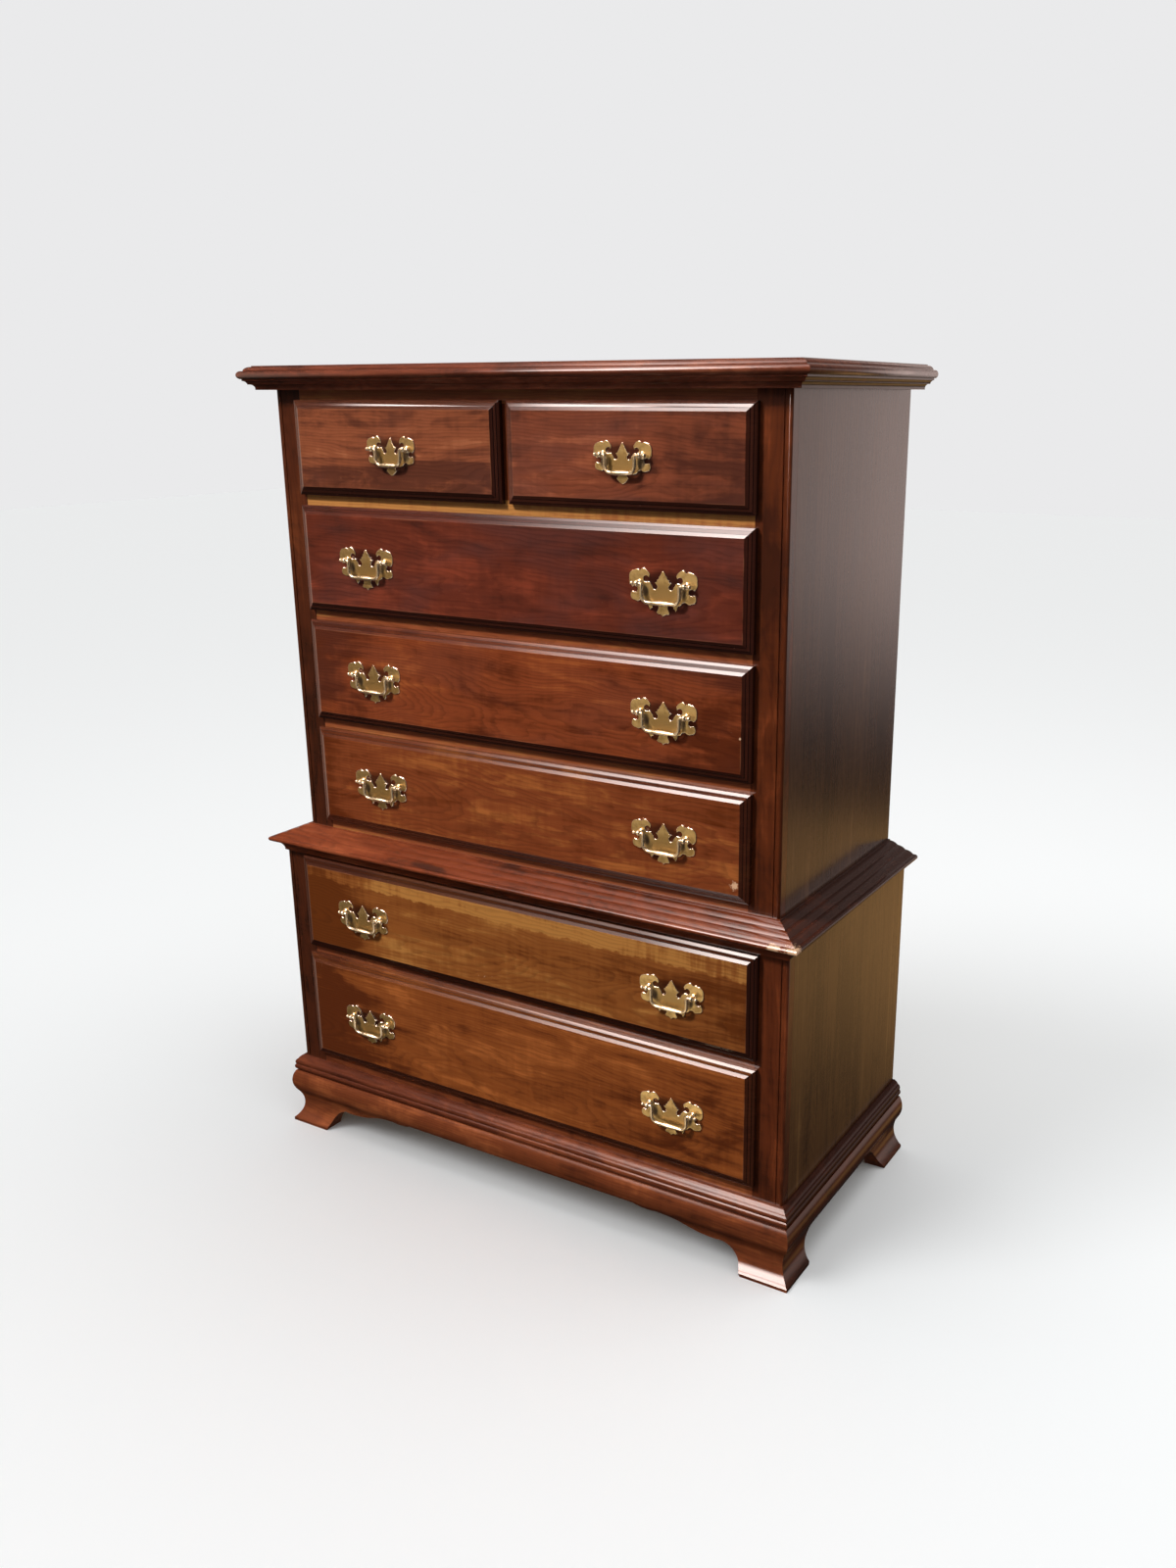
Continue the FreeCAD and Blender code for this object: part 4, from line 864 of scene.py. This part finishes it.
def bailPath(kind):  # (x, z, radius) down the right-hand half, then up the left-hand one
    size = bailSize
    half = pullSize[kind]["spacing"] / 2
    drop = pullSize[kind]["drop"]
    head = postSize["head"]
    leg = half - head - size["bend"] - size["headGap"]
    tip = half + head + size["headGap"] + size["ball"]
    path = []
    for step in range(size["ballSteps"]):
        angle = math.pi * step / size["halfTurn"]
        path.append((tip + size["ball"] * math.cos(angle), 0, max(0.0, size["ball"] * math.sin(angle))))
    path += [(half + head + size["wireGap"], 0, size["wire"]), (leg + size["bend"], 0, size["wire"])]
    for step in range(1, size["bendSteps"] + 1):
        angle = math.pi / 2 * step / size["bendSteps"]
        thick = size["wire"] + (size["leg"] - size["wire"]) * step / size["bendSteps"]
        x = leg + size["bend"] * (1 - math.sin(angle))
        path.append((x, -size["bend"] * (1 - math.cos(angle)), thick))
    for step in range(size["cornerSteps"] + 1):
        angle = math.pi / 2 * step / size["cornerSteps"]
        x = leg - size["corner"] * (1 - math.cos(angle))
        path.append((x, size["corner"] - drop - size["corner"] * math.sin(angle), size["leg"]))
    inner = leg - size["corner"]
    for step in range(1, size["gripSteps"] + 1):
        x = inner * (1 - step / size["gripSteps"])
        swell = math.sqrt(max(0.0, 1 - (2 * x / size["grip"]) ** 2)) * size["gripRadius"]
        path.append((x, -drop, max(size["leg"], swell)))
    return path + [(-x, z, radius) for x, z, radius in reversed(path[:-1])]


def bailMesh(kind):
    slices = bailSize["slices"]
    path = bailPath(kind)
    outward = Vector((0, 1, 0))
    shape = bmesh.new()
    rings = []
    for index, (x, z, radius) in enumerate(path):
        before = path[max(0, index - 1)]
        after = path[min(len(path) - 1, index + 1)]
        way = Vector((after[0] - before[0], 0, after[1] - before[1])).normalized()
        across = outward.cross(way)
        if radius == 0:
            rings.append([shape.verts.new((x, 0, z))] * slices)
            continue
        ring = []
        for step in range(slices):
            angle = 2 * math.pi * step / slices
            spoke = math.cos(angle) * across + math.sin(angle) * outward
            ring.append(shape.verts.new(Vector((x, 0, z)) + radius * spoke))
        rings.append(ring)
    return skinned(rings, shape, kind + "_bail")


def gather(name, parts, materials):  # one mesh from (mesh, place, slot) parts
    shape = bmesh.new()
    for mesh, place, slot in parts:
        start = len(shape.faces)
        copy = mesh.copy()
        copy.transform(Matrix.Translation(place))
        shape.from_mesh(copy)
        shape.faces.ensure_lookup_table()
        for face in shape.faces[start:]:
            face.material_index = slot
            face.smooth = True
        bpy.data.meshes.remove(copy)
    mesh = bpy.data.meshes.new(name)
    shape.to_mesh(mesh)
    shape.free()
    for material in materials:
        mesh.materials.append(material)
    mesh.set_sharp_from_angle(angle=math.radians(smoothAngle))
    return mesh


pullMesh = {}
postBlank = boredPost()
nutBlank = nutMesh()
for kind, size in pullSize.items():
    parts = [(plateMesh(kind), (0, 0, 0), 0)]
    for side in (-1, 1):
        place = (side * size["spacing"] / 2, 0, 0)
        parts += [(postBlank, place, 1), (nutBlank, place, 1)]
    pullMesh[kind] = (gather(kind + "_pull", parts, [plateBrass, castBrass]),
                      gather(kind + "_bail", [(bailMesh(kind), (0, 0, 0), 0)], [castBrass]))

brassPieces = []
for joint in hinges:
    bailName = joint["child"]
    drawer = joint["parent"]
    kind = "small" if drawer.startswith("top") else "large"
    pull = bpy.data.objects.new(bailName.replace("_bail", "_pull_brass"), pullMesh[kind][0])
    bail = bpy.data.objects.new(bailName + "_brass", pullMesh[kind][1])
    plates = drawer.replace("_drawer", "_pull_plates")
    for piece, body, stands in ((pull, drawer, plates), (bail, bailName, bailName)):
        scene.collection.objects.link(piece)
        piece.location = joint["pos_m"]
        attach(piece, body)
        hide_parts(stands)
        brassPieces.append(piece)
print("pulls hung")


# Floor, light and camera

floorLook = {"colour": stain(244, 246, 247), "reach": 14.0, "roughness": 0.9}
floorShape = bmesh.new()
bmesh.ops.create_grid(floorShape, x_segments=2, y_segments=2, size=floorLook["reach"])
floorMesh = bpy.data.meshes.new("floor")
floorShape.to_mesh(floorMesh)
floorShape.free()
floor = bpy.data.objects.new("floor", floorMesh)
scene.collection.objects.link(floor)
floorPaint, _, floorShader, _ = startMaterial("floorPaint")
floorShader.inputs["Base Color"].default_value = floorLook["colour"]
floorShader.inputs["Roughness"].default_value = floorLook["roughness"]
floorShader.inputs["Specular IOR Level"].default_value = 0.0
floorMesh.materials.append(floorPaint)
floor.visible_glossy = False
floor.visible_diffuse = False

lampLook = {"kind": "AREA", "colour": (1.0, 1.0, 1.0), "on": [floor], "link": "INCLUDE"}
lightLook = {  # the key models the chest, each of the others lights only the brass or only the floor
    "key": {
        "place": (-1.6, -3.0, 4.2), "aim": (0.0, -0.1, 0.7), "power": 296.0, "shape": {"size": 0.56},
        "colour": (1.0, 0.97, 0.93), "link": "EXCLUDE"},
    "brassGlow": {
        "place": (-0.55, -2.1, 0.45), "aim": (0.25, -0.2, 0.7), "power": 3.2, "shape": {"size": 0.9},
        "colour": (1.0, 0.95, 0.84), "on": brassPieces},
    "lowBrassGlow": {
        "place": (0.0, -0.9, 0.01), "aim": (0.0, -0.9, 1.0), "power": 3.6, "shape": {"size": 0.8},
        "colour": (1.0, 0.93, 0.82), "on": brassPieces},
    "floorWash": {
        "place": (0.6, 0.3, 3.8), "aim": (0.4, -0.4, 0.0), "power": 34.0, "shape": {"size": 2.4}},
    "floorSun": {
        "kind": "SUN", "place": (-1.8, -2.2, 3.0), "aim": (0.0, 0.0, 0.0), "power": 0.95,
        "shape": {"angle": 0.5}},
}
for name, values in lightLook.items():
    look = {**lampLook, **values}
    lamp = bpy.data.lights.new(name, look["kind"])
    lamp.energy = look["power"]
    lamp.color = look["colour"]
    for field, size in look["shape"].items():
        setattr(lamp, field, size)
    stand = bpy.data.objects.new(name, lamp)
    stand.location = look["place"]
    stand.rotation_euler = (Vector(look["aim"]) - Vector(look["place"])).to_track_quat("-Z", "Y").to_euler()
    stand.visible_camera = False
    stand.visible_glossy = look["on"] is brassPieces
    receivers = bpy.data.collections.new(name + "_receivers")
    for piece in look["on"]:
        receivers.objects.link(piece)
    for linked in receivers.collection_objects:
        linked.light_linking.link_state = look["link"]
    stand.light_linking.receiver_collection = receivers
    scene.collection.objects.link(stand)

# a backdrop for the eye, soft light for the wood, walls and a window for the polish to mirror
roomLook = {
    "backdrop": stain(234, 234, 235), "ambientTint": (1.0, 0.99, 0.98, 1), "ambient": 0.06,
    "above": (-0.1, 1.0, 0.0, 0.75), "ahead": (-0.9, 0.1, 0.10, 0.0), "beside": (0.2, 0.9, 0.0, 0.30),
    "back": (0.2, 0.8), "backSide": (0.37, 0.43, 1.0, 0.55),
    "wallTint": (1.30, 1.02, 0.94, 1), "wallFoot": (-0.27, -0.09), "wallHead": (0.10, 0.32, 1.0, 0.12),
    "floorTint": (0.68, 0.37, 0.13, 1), "floorNear": (-0.53, -0.36), "floorFar": (-0.31, -0.29),
    "leftTint": (1.0, 0.68, 0.54, 1), "leftWall": (-0.98, -0.80, 0.7, 0.0),
    "glassTint": (0.90, 0.80, 0.76, 1), "gloom": (0.02, 0.017, 0.016, 1),
    "window": {"left": (-0.62, -0.42), "right": (-0.30, -0.12), "sill": (0.15, 0.46),
               "head": (0.66, 0.76, 1.0, 0.15), "depth": (0.1, 0.5, 30.0, 0.0)},
    "skylight": {"left": (-0.46, -0.37), "right": (-0.18, -0.08), "sill": (0.66, 0.76),
                 "head": (0.86, 0.93, 1.0, 0.1), "depth": (0.0, 0.3, 30.0, 0.0)},
}
studio = bpy.data.worlds.new("studio")
scene.world = studio
studio.use_nodes = True
sky = studio.node_tree
sky.nodes.clear()
ray = sky.nodes.new("ShaderNodeLightPath").outputs
toRight, toBack, toTop = parted(sky, sky.nodes.new("ShaderNodeTexCoord").outputs["Generated"])


def tinted(tint, level):
    return blendColour(sky, 1.0, tint, level, "MULTIPLY")


def added(first, second):
    return blendColour(sky, 1.0, first, second, "ADD")


def glow(colour, level):
    return addNode(sky, "ShaderNodeBackground", {"Color": colour, "Strength": level}).outputs[0]


def pane(look):
    glass = times(sky, rise(sky, toRight, *look["left"]), fall(sky, toRight, *look["right"]))
    glass = times(sky, glass, rise(sky, toTop, *look["sill"]))
    glass = times(sky, glass, rise(sky, toTop, *look["head"]))
    return times(sky, glass, rise(sky, toBack, *look["depth"]))


above = rise(sky, toTop, *roomLook["above"])
ahead = rise(sky, toBack, *roomLook["ahead"])
beside = rise(sky, toRight, *roomLook["beside"])
roomLevel = plus(sky, plus(sky, above, ahead), plus(sky, beside, roomLook["ambient"]))
behind = times(sky, rise(sky, toBack, *roomLook["back"]), rise(sky, toRight, *roomLook["backSide"]))
paleWall = times(sky, rise(sky, toTop, *roomLook["wallFoot"]), rise(sky, toTop, *roomLook["wallHead"]))
goldFloor = times(sky, rise(sky, toTop, *roomLook["floorNear"]), fall(sky, toTop, *roomLook["floorFar"]))
glass = calc(sky, "MAXIMUM", pane(roomLook["window"]), pane(roomLook["skylight"]))
leftWall = tinted(roomLook["leftTint"], rise(sky, toRight, *roomLook["leftWall"]))
backWall = blendColour(sky, goldFloor, tinted(roomLook["wallTint"], paleWall), roomLook["floorTint"])
front = added(tinted(roomLook["glassTint"], glass), leftWall)
mirrored = added(added(tinted(backWall, behind), front), roomLook["gloom"])
backdrop = glow(roomLook["backdrop"], 1.0)
soft = glow(roomLook["ambientTint"], roomLevel)
mirror = glow(mirrored, 1.0)
lit = addNode(sky, "ShaderNodeMixShader", {0: ray["Is Glossy Ray"], 1: soft, 2: mirror}).outputs[0]
seen = addNode(sky, "ShaderNodeMixShader", {0: ray["Is Camera Ray"], 1: lit, 2: backdrop}).outputs[0]
addNode(sky, "ShaderNodeOutputWorld", {"Surface": seen})

cameraLook = {"place": (1.2122, backPlane - 2.036, 1.2855), "yaw": 30.175, "pitch": -17.362, "lens": 30.694,
              "shift": (-0.0527, 0.0201), "sensor": 36.0}
cameraData = bpy.data.cameras.new("camera")
cameraData.sensor_width = cameraLook["sensor"]
cameraData.lens = cameraLook["lens"]
cameraData.shift_x, cameraData.shift_y = cameraLook["shift"]
camera = bpy.data.objects.new("camera", cameraData)
camera.location = cameraLook["place"]
camera.rotation_euler = (math.radians(90 + cameraLook["pitch"]), 0, math.radians(cameraLook["yaw"]))
scene.collection.objects.link(camera)
scene.camera = camera
scene.view_settings.view_transform = "Standard"
print("studio lit")
